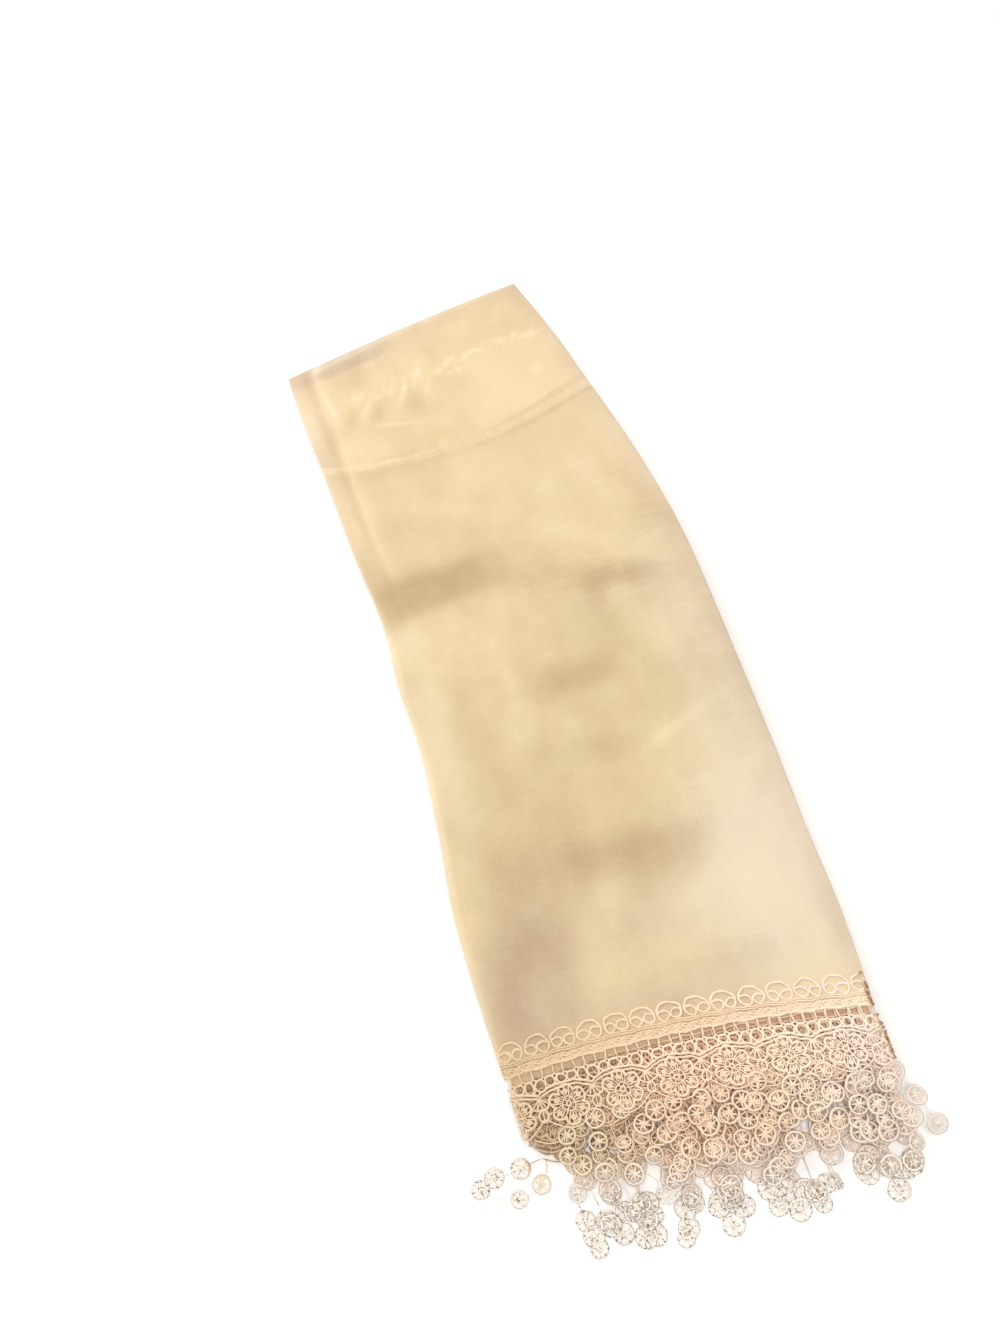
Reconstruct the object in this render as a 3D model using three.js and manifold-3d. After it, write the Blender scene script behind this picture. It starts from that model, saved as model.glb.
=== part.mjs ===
// Sheer window valance with a lace hem, folded lengthwise seven layers deep and laid flat.
// Millimetres, +Z up. The heading points to +Y and the lace to -Y, and the strip lies on Z = 0.
import * as THREE from 'three';
import { mergeVertices } from 'three/addons/utils/BufferGeometryUtils.js';
import Module from 'manifold-3d';

// Driving dimensions
const SHEET = 1;
const PITCH = 1.8;
const CLEAR = 0.3;
const LAYERS = 7;
const SIDE_HEM = 16;
const SIDE_HEM_END = 0.93;
const HEADER_STITCH = 0.075;
const POCKET_STITCH = 0.175;
const HEM_PLY = 0.4;
const HEM_STEP = 2;
const FLAT_FROM = 0.955;
const PUFFED_TO = 0.84;
const FOLD_STEPS = 4;
const FINE_STATIONS = 9;

// Lace: sizes below the cloth's edge, along one repeat, and of the rows that lie on the cloth
const REPEATS = 7;
const LACE_VALLEY = 23;
const LACE_LOBE = 31;
const LOBE_STEPS = 4;
const LADDER = { cells: 4, top: 1.2, height: 4.3, bar: 1.4 };
const BAND_HEIGHT = 7;
const SCROLL = { perRepeat: 2, foot: 1.5, height: 10, roundness: 0.6, steps: 4 };
const LACE_FOLD = { leg: 2, top: CLEAR + 0.6 };

// Fringe: a narrow strip below the lace, and threads with small lace wheels on them
const STRIP = 2.2;
const STRIP_GAP = 0.45;
const THREAD = 1.5;
const WHEEL_RADIUS = 5.3;
const WHEEL_SHOULDER = 0.5;
const FAN_DEGREES = 7;
const SWAY_DEGREES = 2;
const SWAY_STEP = 2.4;
const THREAD_SHIFTS = [0.5, 0.3, 0.62, 0.4, 0.7, 0.35, 0.5];

// Rows of the top layer from the heading to the hem edge, and where each meets the two sides
const ROWS = [
  { drop: 0.00, leftX: -95, leftY: 275, rightX: 59, rightY: 288 },
  { drop: 0.07, leftX: -94, leftY: 243, rightX: 68, rightY: 255 },
  { drop: 0.17, leftX: -91, leftY: 198, rightX: 78, rightY: 207 },
  { drop: 0.30, leftX: -88, leftY: 139, rightX: 90, rightY: 144 },
  { drop: 0.42, leftX: -84, leftY: 85, rightX: 97, rightY: 85 },
  { drop: 0.50, leftX: -86, leftY: 49, rightX: 98, rightY: 46 },
  { drop: 0.58, leftX: -85, leftY: 13, rightX: 98, rightY: 7 },
  { drop: 0.70, leftX: -89, leftY: -41, rightX: 98, rightY: -52 },
  { drop: 0.80, leftX: -94, leftY: -86, rightX: 97, rightY: -102 },
  { drop: 0.90, leftX: -95, leftY: -131, rightX: 97, rightY: -151 },
  { drop: 1.00, leftX: -94, leftY: -176, rightX: 94, rightY: -200 },
];

// Side edges met along the cloth, from the hemmed edge on top to the one underneath:
// how far each lies inside the top layer's outline, and how far it has slipped towards the lace
const TURNS = [
  { side: 'left', insetTop: 0, insetHem: 0, slip: 0 },
  { side: 'right', insetTop: 0, insetHem: 0, slip: 0 },
  { side: 'left', insetTop: 3, insetHem: 4, slip: 4 },
  { side: 'right', insetTop: 3, insetHem: 5, slip: 3 },
  { side: 'left', insetTop: 1.5, insetHem: 2, slip: 8 },
  { side: 'right', insetTop: 4, insetHem: 3, slip: 7 },
  { side: 'left', insetTop: 3, insetHem: 5, slip: 12 },
  { side: 'right', insetTop: 2, insetHem: 6, slip: 11 },
];

// Share of the swells that each layer takes, from the top one down
const LIFTS = [1, 0.65, 0.3, 0, 0, 0, 0];

// Soft swells of the upper layers, with the troughs between them: place as shares of the width
// and drop, half length and half width, turn from the width, and height
const SWELLS = [
  { place: 'rod pocket', across: 0.50, drop: 0.125, run: 130, reach: 13, turn: 4, rise: 2.0 },
  { place: 'above the trough', across: 0.25, drop: 0.34, run: 55, reach: 22, turn: 14, rise: 4.0 },
  { place: 'below the trough', across: 0.25, drop: 0.48, run: 60, reach: 24, turn: 14, rise: 4.5 },
  { place: 'middle ridge', across: 0.42, drop: 0.61, run: 55, reach: 24, turn: 80, rise: 3.5 },
  { place: 'lower left', across: 0.18, drop: 0.76, run: 50, reach: 28, turn: 60, rise: 3.0 },
  { place: 'lower right', across: 0.72, drop: 0.77, run: 55, reach: 32, turn: 75, rise: 4.5 },
  { place: 'upper side fold', across: 0.90, drop: 0.30, run: 80, reach: 24, turn: 104, rise: 4.0 },
  { place: 'lower side fold', across: 0.92, drop: 0.58, run: 80, reach: 22, turn: 91, rise: 3.5 },
];

// Rows of the cloth's solid, as shares of its drop
const STATIONS = [0, 0.035, HEADER_STITCH, 0.125, POCKET_STITCH, 0.182, 0.24, 0.30, 0.355, 0.41,
  0.465, 0.53, 0.60, 0.67, 0.74, 0.81, 0.875, SIDE_HEM_END, 1];

// Kinds of fringe thread: how far down each its wheels sit
const THREADS = [
  { wheels: [8, 24, 43] },
  { wheels: [15, 33] },
  { wheels: [9, 26, 50] },
  { wheels: [16, 37] },
];
const SHORT_THREADS = [
  { wheels: [14, 40] },
  { wheels: [9, 31] },
  { wheels: [20, 47] },
];

// Threads splayed out on the floor from the left end of the lowest strip
const SPLAYED = [
  { along: 0.2, lean: -24, wheels: [14, 30] },
  { along: 0.04, lean: -52, wheels: [12, 28] },
];
const END_THREAD = { lean: -88, wheels: [12, 29] };

const CLOTH_LOOK = { color: 0xeed8af, roughness: 0.8, metalness: 0 };
const LACE_LOOK = { color: 0xf3dfc2, roughness: 0.85, metalness: 0 };
const FRINGE_LOOK = { color: 0xeed6b8, roughness: 0.85, metalness: 0 };

const FLAT = { depth: SHEET, bevelEnabled: false };
const ALONG_Y = new THREE.Vector3(0, 1, 0);
const ALONG_Z = new THREE.Vector3(0, 0, 1);

// Outline of the folded strip
const leftPoints = ROWS.map(({ leftX, leftY }) => new THREE.Vector3(leftX, leftY, 0));
const rightPoints = ROWS.map(({ rightX, rightY }) => new THREE.Vector3(rightX, rightY, 0));
const leftSide = new THREE.CatmullRomCurve3(leftPoints);
const rightSide = new THREE.CatmullRomCurve3(rightPoints);

function sidePoints(drop) {
  const last = ROWS.length - 1;
  const above = Math.min(ROWS.findLastIndex((row) => row.drop <= drop), last - 1);
  const share = (drop - ROWS[above].drop) / (ROWS[above + 1].drop - ROWS[above].drop);
  const place = (above + share) / last;
  return { left: leftSide.getPoint(place), right: rightSide.getPoint(place) };
}

// Point where the cloth turns, at one share of the drop
function turnPoint(turn, drop) {
  const { left, right } = sidePoints(drop);
  const inset = THREE.MathUtils.lerp(turn.insetTop, turn.insetHem, drop);
  const share = inset / left.distanceTo(right);
  const point = new THREE.Vector3().lerpVectors(left, right, turn.side === 'left' ? share : 1 - share);
  point.y -= turn.slip;
  return point;
}

const swells = SWELLS.map((swell) => {
  const { left, right } = sidePoints(swell.drop);
  const centre = new THREE.Vector3().lerpVectors(left, right, swell.across);
  return { ...swell, centre, angle: THREE.MathUtils.degToRad(swell.turn) };
});

// Height of the swells over one point: rounded humps, flattened towards the lace
function swellHeight(x, y, drop) {
  const fade = 1 - THREE.MathUtils.smoothstep(drop, PUFFED_TO, FLAT_FROM);
  let height = 0;
  for (const { centre, angle, run, reach, rise } of swells) {
    const dx = x - centre.x;
    const dy = y - centre.y;
    const alongRidge = (dx * Math.cos(angle) + dy * Math.sin(angle)) / run;
    const acrossRidge = (dy * Math.cos(angle) - dx * Math.sin(angle)) / reach;
    height += rise * Math.exp(-alongRidge * alongRidge - acrossRidge * acrossRidge);
  }
  return fade * height;
}

const layerLevel = (layer) => SHEET / 2 + (LAYERS - 1 - layer) * PITCH;

function clothHeight(layer, point, drop) {
  return layerLevel(layer) + LIFTS[layer] * swellHeight(point.x, point.y, drop);
}

// Stations along one layer: the top one has a pair at the edge of its side hem
function layerStations(layer, width) {
  if (LIFTS[layer] === 0) {
    return [0, 1];
  }
  const even = Array.from({ length: FINE_STATIONS + 1 }, (_, index) => index / FINE_STATIONS);
  return layer === 0 ? [0, SIDE_HEM / width, (SIDE_HEM + HEM_STEP) / width, ...even.slice(2)] : even;
}

// Turned-in cloth of the side hem, the header and the rod pocket stands a little higher
function hemPly(layer, station, width, drop) {
  const inSideHem = station * width <= SIDE_HEM && drop < SIDE_HEM_END;
  return layer === 0 && (inSideHem || drop <= POCKET_STITCH) ? HEM_PLY : 0;
}

// One section across the strip: back and forth through all the layers, with a round turn at each fold
function clothSection(drop) {
  const turns = TURNS.map((turn) => turnPoint(turn, drop));
  const section = [];
  for (let layer = 0; layer < LAYERS; layer += 1) {
    const from = turns[layer];
    const to = turns[layer + 1];
    const width = from.distanceTo(to);
    const radiusFrom = layer === 0 ? 0 : foldRadius(layer, from, drop);
    const radiusTo = layer === LAYERS - 1 ? 0 : foldRadius(layer + 1, to, drop);
    const start = from.clone().lerp(to, radiusFrom / width);
    const end = to.clone().lerp(from, radiusTo / width);
    for (const station of layerStations(layer, width)) {
      const point = start.clone().lerp(end, station);
      point.z = clothHeight(layer, point, drop);
      section.push({ point, ply: hemPly(layer, station, width, drop) });
    }
    if (layer < LAYERS - 1) {
      const upper = clothHeight(layer, end, drop);
      const lower = clothHeight(layer + 1, end, drop);
      const outward = to.clone().sub(from).normalize();
      for (let step = 1; step < FOLD_STEPS; step += 1) {
        const angle = Math.PI * (0.5 - step / FOLD_STEPS);
        const point = end.clone().addScaledVector(outward, radiusTo * Math.cos(angle));
        point.z = (upper + lower) / 2 + ((upper - lower) / 2) * Math.sin(angle);
        section.push({ point, ply: 0 });
      }
    }
  }
  return section;
}

function foldRadius(lowerLayer, point, drop) {
  return (clothHeight(lowerLayer - 1, point, drop) - clothHeight(lowerLayer, point, drop)) / 2;
}

// The two faces of the sheet, half a thickness to each side of its section
function sheetFaces(section) {
  const outer = [];
  const inner = [];
  section.forEach(({ point, ply }, index) => {
    const before = section[Math.max(index - 1, 0)].point;
    const after = section[Math.min(index + 1, section.length - 1)].point;
    const run = Math.hypot(after.x - before.x, after.z - before.z);
    const normal = new THREE.Vector3((before.z - after.z) / run, 0, (after.x - before.x) / run);
    outer.push(point.clone().addScaledVector(normal, SHEET / 2 + ply));
    inner.push(point.clone().addScaledVector(normal, -SHEET / 2));
  });
  return [...outer, ...inner.reverse()];
}

// Closed solid through a row of rings, each a sheet's outer face followed by its inner face
function loft(rings) {
  const size = rings[0].length;
  const positions = rings.flat().flatMap((point) => [point.x, point.y, point.z]);
  const triangles = [];
  const quad = (a, b, c, d) => triangles.push(a, b, c, a, c, d);
  for (let row = 0; row + 1 < rings.length; row += 1) {
    for (let index = 0; index < size; index += 1) {
      const next = (index + 1) % size;
      quad(row * size + index, (row + 1) * size + index, (row + 1) * size + next, row * size + next);
    }
  }
  const lastRing = (rings.length - 1) * size;
  for (let index = 0; index + 1 < size / 2; index += 1) {
    const facing = size - 1 - index;
    quad(index, index + 1, facing - 1, facing);
    quad(lastRing + facing, lastRing + facing - 1, lastRing + index + 1, lastRing + index);
  }
  const geometry = new THREE.BufferGeometry();
  geometry.setAttribute('position', new THREE.Float32BufferAttribute(positions, 3));
  geometry.setIndex(triangles);
  return geometry;
}

const clothGeometry = loft(STATIONS.map((drop) => sheetFaces(clothSection(drop))));

// Where each layer's lace starts and ends along the hem, and its height; the top one lies on the cloth
const laceTurns = TURNS.map((turn) => turnPoint(turn, 1));
const laceLevel = (layer) => layerLevel(layer) + (layer === 0 ? SHEET + CLEAR : 0);
const laceFoldRadius = (lowerLayer) => (laceLevel(lowerLayer - 1) - laceLevel(lowerLayer)) / 2;

function laceSpan(layer) {
  const from = laceTurns[layer];
  const to = laceTurns[layer + 1];
  const width = from.distanceTo(to);
  const start = from.clone().lerp(to, layer === 0 ? 0 : laceFoldRadius(layer) / width);
  const end = to.clone().lerp(from, layer === LAYERS - 1 ? 0 : laceFoldRadius(layer + 1) / width);
  const [left, right] = start.x < end.x ? [start, end] : [end, start];
  return { left, along: right.clone().sub(left).normalize(), length: left.distanceTo(right) };
}

// Lays a flat piece, drawn along the hem and up from it, in its layer
function layInLayer(geometry, layer) {
  const { left, along } = laceSpan(layer);
  const frame = new THREE.Matrix4().makeBasis(along, ALONG_Y, ALONG_Z);
  frame.setPosition(left.x, left.y, laceLevel(layer) - SHEET / 2);
  return geometry.applyMatrix4(frame);
}

// One hump for each whole step of the place, from 0 to 1 and back
const hump = (place) => Math.abs(Math.sin(Math.PI * place));

// Drop of the lace's lower edge: a rounded lobe for each repeat
const lobeDrop = (place) => LACE_VALLEY + (LACE_LOBE - LACE_VALLEY) * hump(place);

// Height of the scroll row's arches above the cloth's edge
const scrollRise = (place) => BAND_HEIGHT + SCROLL.foot + SCROLL.height * hump(place) ** SCROLL.roundness;

// One layer of the lace, before its gaps are cut; on the top layer it has the band and scrolls too
function lacePlate(layer) {
  const { length } = laceSpan(layer);
  const repeat = length / REPEATS;
  const shape = new THREE.Shape();
  shape.moveTo(0, -LACE_VALLEY);
  for (let step = 1; step <= REPEATS * LOBE_STEPS; step += 1) {
    const place = step / LOBE_STEPS;
    shape.lineTo(place * repeat, -lobeDrop(place));
  }
  if (layer === 0) {
    const steps = REPEATS * SCROLL.perRepeat * SCROLL.steps;
    for (let step = steps; step >= 0; step -= 1) {
      shape.lineTo((step / steps) * length, scrollRise(step / SCROLL.steps));
    }
  } else {
    shape.lineTo(length, -CLEAR);
    shape.lineTo(0, -CLEAR);
  }
  shape.closePath();
  return layInLayer(new THREE.ExtrudeGeometry(shape, FLAT), layer);
}

// Gaps of one layer's ladder row, each between two upright bars
function ladderGaps(layer) {
  const cell = laceSpan(layer).length / (REPEATS * LADDER.cells);
  return Array.from({ length: REPEATS * LADDER.cells }, (_, index) => {
    const gap = new THREE.BoxGeometry(cell - LADDER.bar, LADDER.height, 2 * SHEET);
    gap.translate((index + 0.5) * cell, -LADDER.top - LADDER.height / 2, SHEET / 2);
    return layInLayer(gap, layer);
  });
}

// The lace's round turn from one layer to the next, with a short leg into each
function laceFold(lowerLayer) {
  const radius = laceFoldRadius(lowerLayer);
  const outer = radius + SHEET / 2;
  const inner = radius - SHEET / 2;
  const shape = new THREE.Shape();
  shape.moveTo(-LACE_FOLD.leg, outer);
  shape.lineTo(0, outer);
  shape.absarc(0, 0, outer, Math.PI / 2, -Math.PI / 2, true);
  shape.lineTo(-LACE_FOLD.leg, -outer);
  shape.lineTo(-LACE_FOLD.leg, -inner);
  shape.lineTo(0, -inner);
  shape.absarc(0, 0, inner, -Math.PI / 2, Math.PI / 2, false);
  shape.lineTo(-LACE_FOLD.leg, inner);
  shape.closePath();
  const depth = LACE_VALLEY - LACE_FOLD.top;
  const geometry = new THREE.ExtrudeGeometry(shape, { ...FLAT, depth, curveSegments: FOLD_STEPS });
  const outward = TURNS[lowerLayer].side === 'left' ? -1 : 1;
  const { along } = laceSpan(lowerLayer);
  const centre = laceTurns[lowerLayer].clone().addScaledVector(along, -outward * radius);
  const nearEnd = outward > 0 ? -LACE_FOLD.top : -LACE_VALLEY;
  const aside = new THREE.Vector3(outward, 0, 0);
  const frame = new THREE.Matrix4().makeBasis(aside, ALONG_Z, ALONG_Y.clone().multiplyScalar(-outward));
  frame.setPosition(centre.x, centre.y + nearEnd, laceLevel(lowerLayer) + radius);
  return geometry.applyMatrix4(frame);
}

// Joins the lace's layers and turns into one strip
const wasm = await Module();
wasm.setup();

function toSolid(geometry) {
  const bare = geometry.clone();
  bare.deleteAttribute('normal');
  bare.deleteAttribute('uv');
  const merged = mergeVertices(bare);
  return new wasm.Manifold(new wasm.Mesh({
    numProp: 3,
    vertProperties: new Float32Array(merged.attributes.position.array),
    triVerts: new Uint32Array(merged.index.array),
  }));
}

function toGeometry(solid) {
  const mesh = solid.getMesh();
  const geometry = new THREE.BufferGeometry();
  geometry.setAttribute('position', new THREE.Float32BufferAttribute(mesh.vertProperties, 3));
  geometry.setIndex(Array.from(mesh.triVerts));
  return geometry;
}

function laceLayer(layer) {
  return ladderGaps(layer).reduce((plate, gap) => plate.subtract(toSolid(gap)), toSolid(lacePlate(layer)));
}

function laceStrip() {
  let strip = laceLayer(0);
  for (let layer = 1; layer < LAYERS; layer += 1) {
    strip = strip.add(toSolid(laceFold(layer))).add(laceLayer(layer));
  }
  return toGeometry(strip);
}

// Outline of one thread, down its right side and up its left, widened to six sides at each wheel
function threadOutline(root, leanDegrees, wheels) {
  const lean = THREE.MathUtils.degToRad(leanDegrees);
  const half = THREAD / 2;
  const shoulder = WHEEL_RADIUS * WHEEL_SHOULDER;
  const cheek = WHEEL_RADIUS * Math.sqrt(1 - WHEEL_SHOULDER ** 2);
  const right = [new THREE.Vector2(half, 0)];
  for (const centre of wheels) {
    right.push(new THREE.Vector2(half, WHEEL_RADIUS - centre));
    right.push(new THREE.Vector2(cheek, shoulder - centre));
    right.push(new THREE.Vector2(cheek, -shoulder - centre));
    right.push(new THREE.Vector2(half, -WHEEL_RADIUS - centre));
  }
  const left = right.map(({ x, y }) => new THREE.Vector2(-x, y)).reverse();
  const middle = new THREE.Vector2();
  return [...right, ...left].map((point) => point.rotateAround(middle, lean).add(root));
}

// Threads of one layer: two to a repeat on the outer layers, one on those between
function layerThreads(layer) {
  const outer = layer === 0 || layer === LAYERS - 1;
  const kinds = outer ? THREADS : SHORT_THREADS;
  const count = REPEATS * (outer ? 2 : 1);
  const threads = Array.from({ length: count }, (_, index) => {
    const along = (index + THREAD_SHIFTS[layer]) * (REPEATS / count);
    const lean = FAN_DEGREES * (along / REPEATS - 0.5) + SWAY_DEGREES * Math.sin(SWAY_STEP * index + layer);
    return { along, lean, wheels: kinds[(index + layer) % kinds.length].wheels };
  });
  return layer === LAYERS - 1 ? [...SPLAYED, ...threads.slice(1)] : threads;
}

// Fringe of one layer: a strip along the lace's lobes, with the threads fused into its lower edge
function fringe(layer) {
  const { length } = laceSpan(layer);
  const repeat = length / REPEATS;
  const top = (place) => -lobeDrop(place) - STRIP_GAP;
  const stops = Array.from({ length: REPEATS * LOBE_STEPS + 1 }, (_, step) => step / LOBE_STEPS);
  const outline = stops.map((place) => new THREE.Vector2(place * repeat, top(place)));
  const threads = layerThreads(layer);
  const isFree = (place) => threads.every((thread) => Math.abs(thread.along - place) * repeat > THREAD);
  const bare = stops.filter(isFree).map((place) => ({ along: place, lean: 0, wheels: null }));
  for (const { along, lean, wheels } of [...bare, ...threads].sort((a, b) => b.along - a.along)) {
    const corner = new THREE.Vector2(along * repeat, top(along) - STRIP);
    outline.push(...(wheels ? threadOutline(corner, lean, wheels) : [corner]));
  }
  if (layer === LAYERS - 1) {
    const stripEnd = new THREE.Vector2(0, top(0) - STRIP / 2);
    outline.push(...threadOutline(stripEnd, END_THREAD.lean, END_THREAD.wheels));
  }
  return layInLayer(new THREE.ExtrudeGeometry(new THREE.Shape(outline), FLAT), layer);
}

function namedMesh(name, geometry, look) {
  const mesh = new THREE.Mesh(geometry, new THREE.MeshStandardMaterial(look));
  mesh.name = name;
  return mesh;
}

const valance = new THREE.Group();
valance.add(namedMesh('valance_cloth', clothGeometry, CLOTH_LOOK));
valance.add(namedMesh('lace_hem', laceStrip(), LACE_LOOK));
for (let layer = 0; layer < LAYERS; layer += 1) {
  valance.add(namedMesh(`fringe_${layer + 1}`, fringe(layer), FRINGE_LOOK));
}

export default valance;
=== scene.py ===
import bpy
import numpy as np
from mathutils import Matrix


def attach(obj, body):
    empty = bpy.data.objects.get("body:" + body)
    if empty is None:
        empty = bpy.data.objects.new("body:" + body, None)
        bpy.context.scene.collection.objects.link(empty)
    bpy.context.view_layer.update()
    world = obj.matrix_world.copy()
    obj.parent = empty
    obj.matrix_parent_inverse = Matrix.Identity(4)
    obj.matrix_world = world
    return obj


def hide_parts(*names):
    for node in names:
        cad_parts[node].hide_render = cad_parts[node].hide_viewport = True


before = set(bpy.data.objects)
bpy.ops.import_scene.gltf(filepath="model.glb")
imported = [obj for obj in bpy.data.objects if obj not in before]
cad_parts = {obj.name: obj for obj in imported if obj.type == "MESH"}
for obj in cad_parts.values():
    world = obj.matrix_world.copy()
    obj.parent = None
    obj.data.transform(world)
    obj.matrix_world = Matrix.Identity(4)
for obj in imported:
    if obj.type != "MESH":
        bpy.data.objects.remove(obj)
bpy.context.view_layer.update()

# Valance cloth: one length of sheer cream voile, hemmed down its sides and sewn across near the top
# into a header and a rod pocket. It is folded back and forth lengthwise into seven layers and laid
# flat, with the heading to +Y. Each layer is a little inside the one above and slipped towards the lace.
MM = 0.001
LAYERS = 7
LAYER_PITCH = 1.8 * MM
LOWEST_LAYER = 0.5 * MM
DROP_LENGTH = 475 * MM

# Rows from the heading to the hem edge: share of the drop, then where the row meets each side
ROWS = np.array([
    # drop, left x, left y, right x, right y
    [0.00, -95, 275, 59, 288],
    [0.07, -94, 243, 68, 255],
    [0.17, -91, 198, 78, 207],
    [0.30, -88, 139, 90, 144],
    [0.42, -84, 85, 97, 85],
    [0.50, -86, 49, 98, 46],
    [0.58, -85, 13, 98, 7],
    [0.70, -89, -41, 98, -52],
    [0.80, -94, -86, 97, -102],
    [0.90, -95, -131, 97, -151],
    [1.00, -94, -176, 94, -200],
])
ROW_DROPS = ROWS[:, 0]
ROW_SIDES = ROWS[:, 1:] * MM

# Turns met along the cloth, from the top layer's free edge to the lowest layer's
LEFT, RIGHT = 0, 1
TURNS = np.array([
    # side, inset at the top, inset at the hem, slip towards the lace
    [LEFT, 0, 0, 0],
    [RIGHT, 0, 0, 0],
    [LEFT, 3, 4, 4],
    [RIGHT, 3, 5, 3],
    [LEFT, 1.5, 2, 8],
    [RIGHT, 4, 3, 7],
    [LEFT, 3, 5, 12],
    [RIGHT, 2, 6, 11],
])

# How far the middle of a row is drawn away from the straight line between its ends
BOW = np.array([
    # drop, towards the heading
    [0.00, 2],
    [0.07, -4],
    [0.17, -13],
    [0.30, -6],
    [0.42, 0],
    [0.90, 2],
    [1.00, 5.5],
])

# Share of the relief that each layer takes, from the top one down
LIFTS = np.array([1, 0.65, 0.3, 0, 0, 0, 0])

# Broad swells of the upper layers, with the troughs between them
SWELLS = np.array([
    # across, drop, half length, half width, turn, rise
    [0.50, 0.125, 130, 13, 4, 2.0],
    [0.25, 0.34, 55, 22, 14, 4.0],
    [0.25, 0.48, 60, 24, 14, 4.5],
    [0.42, 0.61, 55, 24, 80, 3.5],
    [0.18, 0.76, 50, 28, 60, 3.0],
    [0.72, 0.77, 55, 32, 75, 4.5],
    [0.90, 0.30, 80, 24, 104, 4.0],
    [0.92, 0.58, 80, 22, 91, 3.5],
])
PUFFED_TO = 0.84
FLAT_FROM = 0.955

# Creases listed on the swells: a trough has a negative rise. Their shade is painted shade where over 0,
# and a painted highlight where under 0; the small ones with a strong painted highlight are tufts that the
# header's stitches draw up
CREASES = np.array([
    # x, y, half length, half width, turn, rise, painted shade
    [-44, 101, 38, 10, 2, -2.4, 0.05],
    [-46, 73, 42, 6, 6, 1.3, -0.15],
    [54, 71, 24, 8, -15, -1.4, 0.1],
    [9, 20, 26, 8, 2, -1.3, 0.1],
    [-28, 9, 52, 8, 82, 1.3, -0.15],
    [52, -28, 30, 4, 19, 0.8, -0.35],
    [1, -83, 40, 10, -7, -1.6, 0.08],
    [-55, -116, 32, 14, 62, -1.8, 0.1],
    [64, -125, 44, 22, 88, 0.9, -0.2],
    [31, -160, 48, 9, -6, -0.6, 0],
    [-14, -101, 15, 9, 60, 1.3, -0.25],
    [-27, 147, 46, 7, -27, 0.8, -0.22],
    [39, 104, 44, 7, -38, 0.8, -0.22],
    [-20, 131, 46, 8, -24, -0.5, 0],
    [-39, 216, 10, 1.4, -18, 0.6, -0.55],
    [-23, 229, 11, 7, 62, -1, 0.5],
    [-64, 232, 8, 4, 75, -0.8, 0.35],
    [-47, 230, 8, 4, 70, -0.7, 0.35],
    [11, 230, 9, 7, 60, -0.6, 0.25],
    [37, 257, 6, 5, 0, -0.4, 0.25],
    [-28, 253, 6, 4, 0, -0.3, 0.2],
    [-56, 245, 7, 3.5, 10, 0.5, -0.5],
    [-74, 243, 13, 2.2, -81, 0.4, -0.6],
    [-45, 240, 3, 1.5, 20, 0.4, -0.6],
    [-36, 241, 2.6, 1.5, 20, 0.4, -0.6],
    [-28, 240, 4.2, 1.6, 60, 0.5, -0.7],
    [-53, 235, 8, 1.8, 55, 0.6, -0.55],
    [-30, 234, 9, 2, 58, 0.6, -0.45],
    [-17, 248, 4.5, 2.2, 70, 0.8, -0.9],
    [-14, 237, 4, 1.6, 70, 0.5, -0.5],
    [-4, 244, 3.2, 2.2, 0, 0.7, -0.8],
    [3, 248, 4.5, 2, 20, 0.8, -0.9],
    [2, 240, 1.8, 1.5, 0, 0.4, -0.7],
    [8, 240, 2.2, 1.5, 0, 0.5, -0.8],
    [16, 248, 5, 1.7, 20, 0.8, -0.8],
    [22, 249, 4.2, 1.6, -20, 0.7, -0.8],
    [38, 250, 4, 2, -10, 0.6, -0.55],
    [47, 250, 3.8, 1.6, 60, 0.6, -0.6],
    [52, 247, 3, 1.6, -10, 0.5, -0.5],
    [58, 246, 3.2, 2.6, 0, 0.6, -0.6],
    [42, 268, 8, 3, 70, 0.4, -0.3],
    [54, 220, 5.5, 4, -10, 0.6, -0.5],
    [-16, 193, 4, 3, 0, 0.4, -0.4],
    [-68, 210, 7, 5, -20, 0.4, -0.35],
    [-70, 20, 60, 7, 88, 0.7, -0.25],
    [76, 130, 50, 8, 112, -0.9, 0.25],
    [80, -40, 60, 8, 95, -0.8, 0.2],
])
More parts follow.
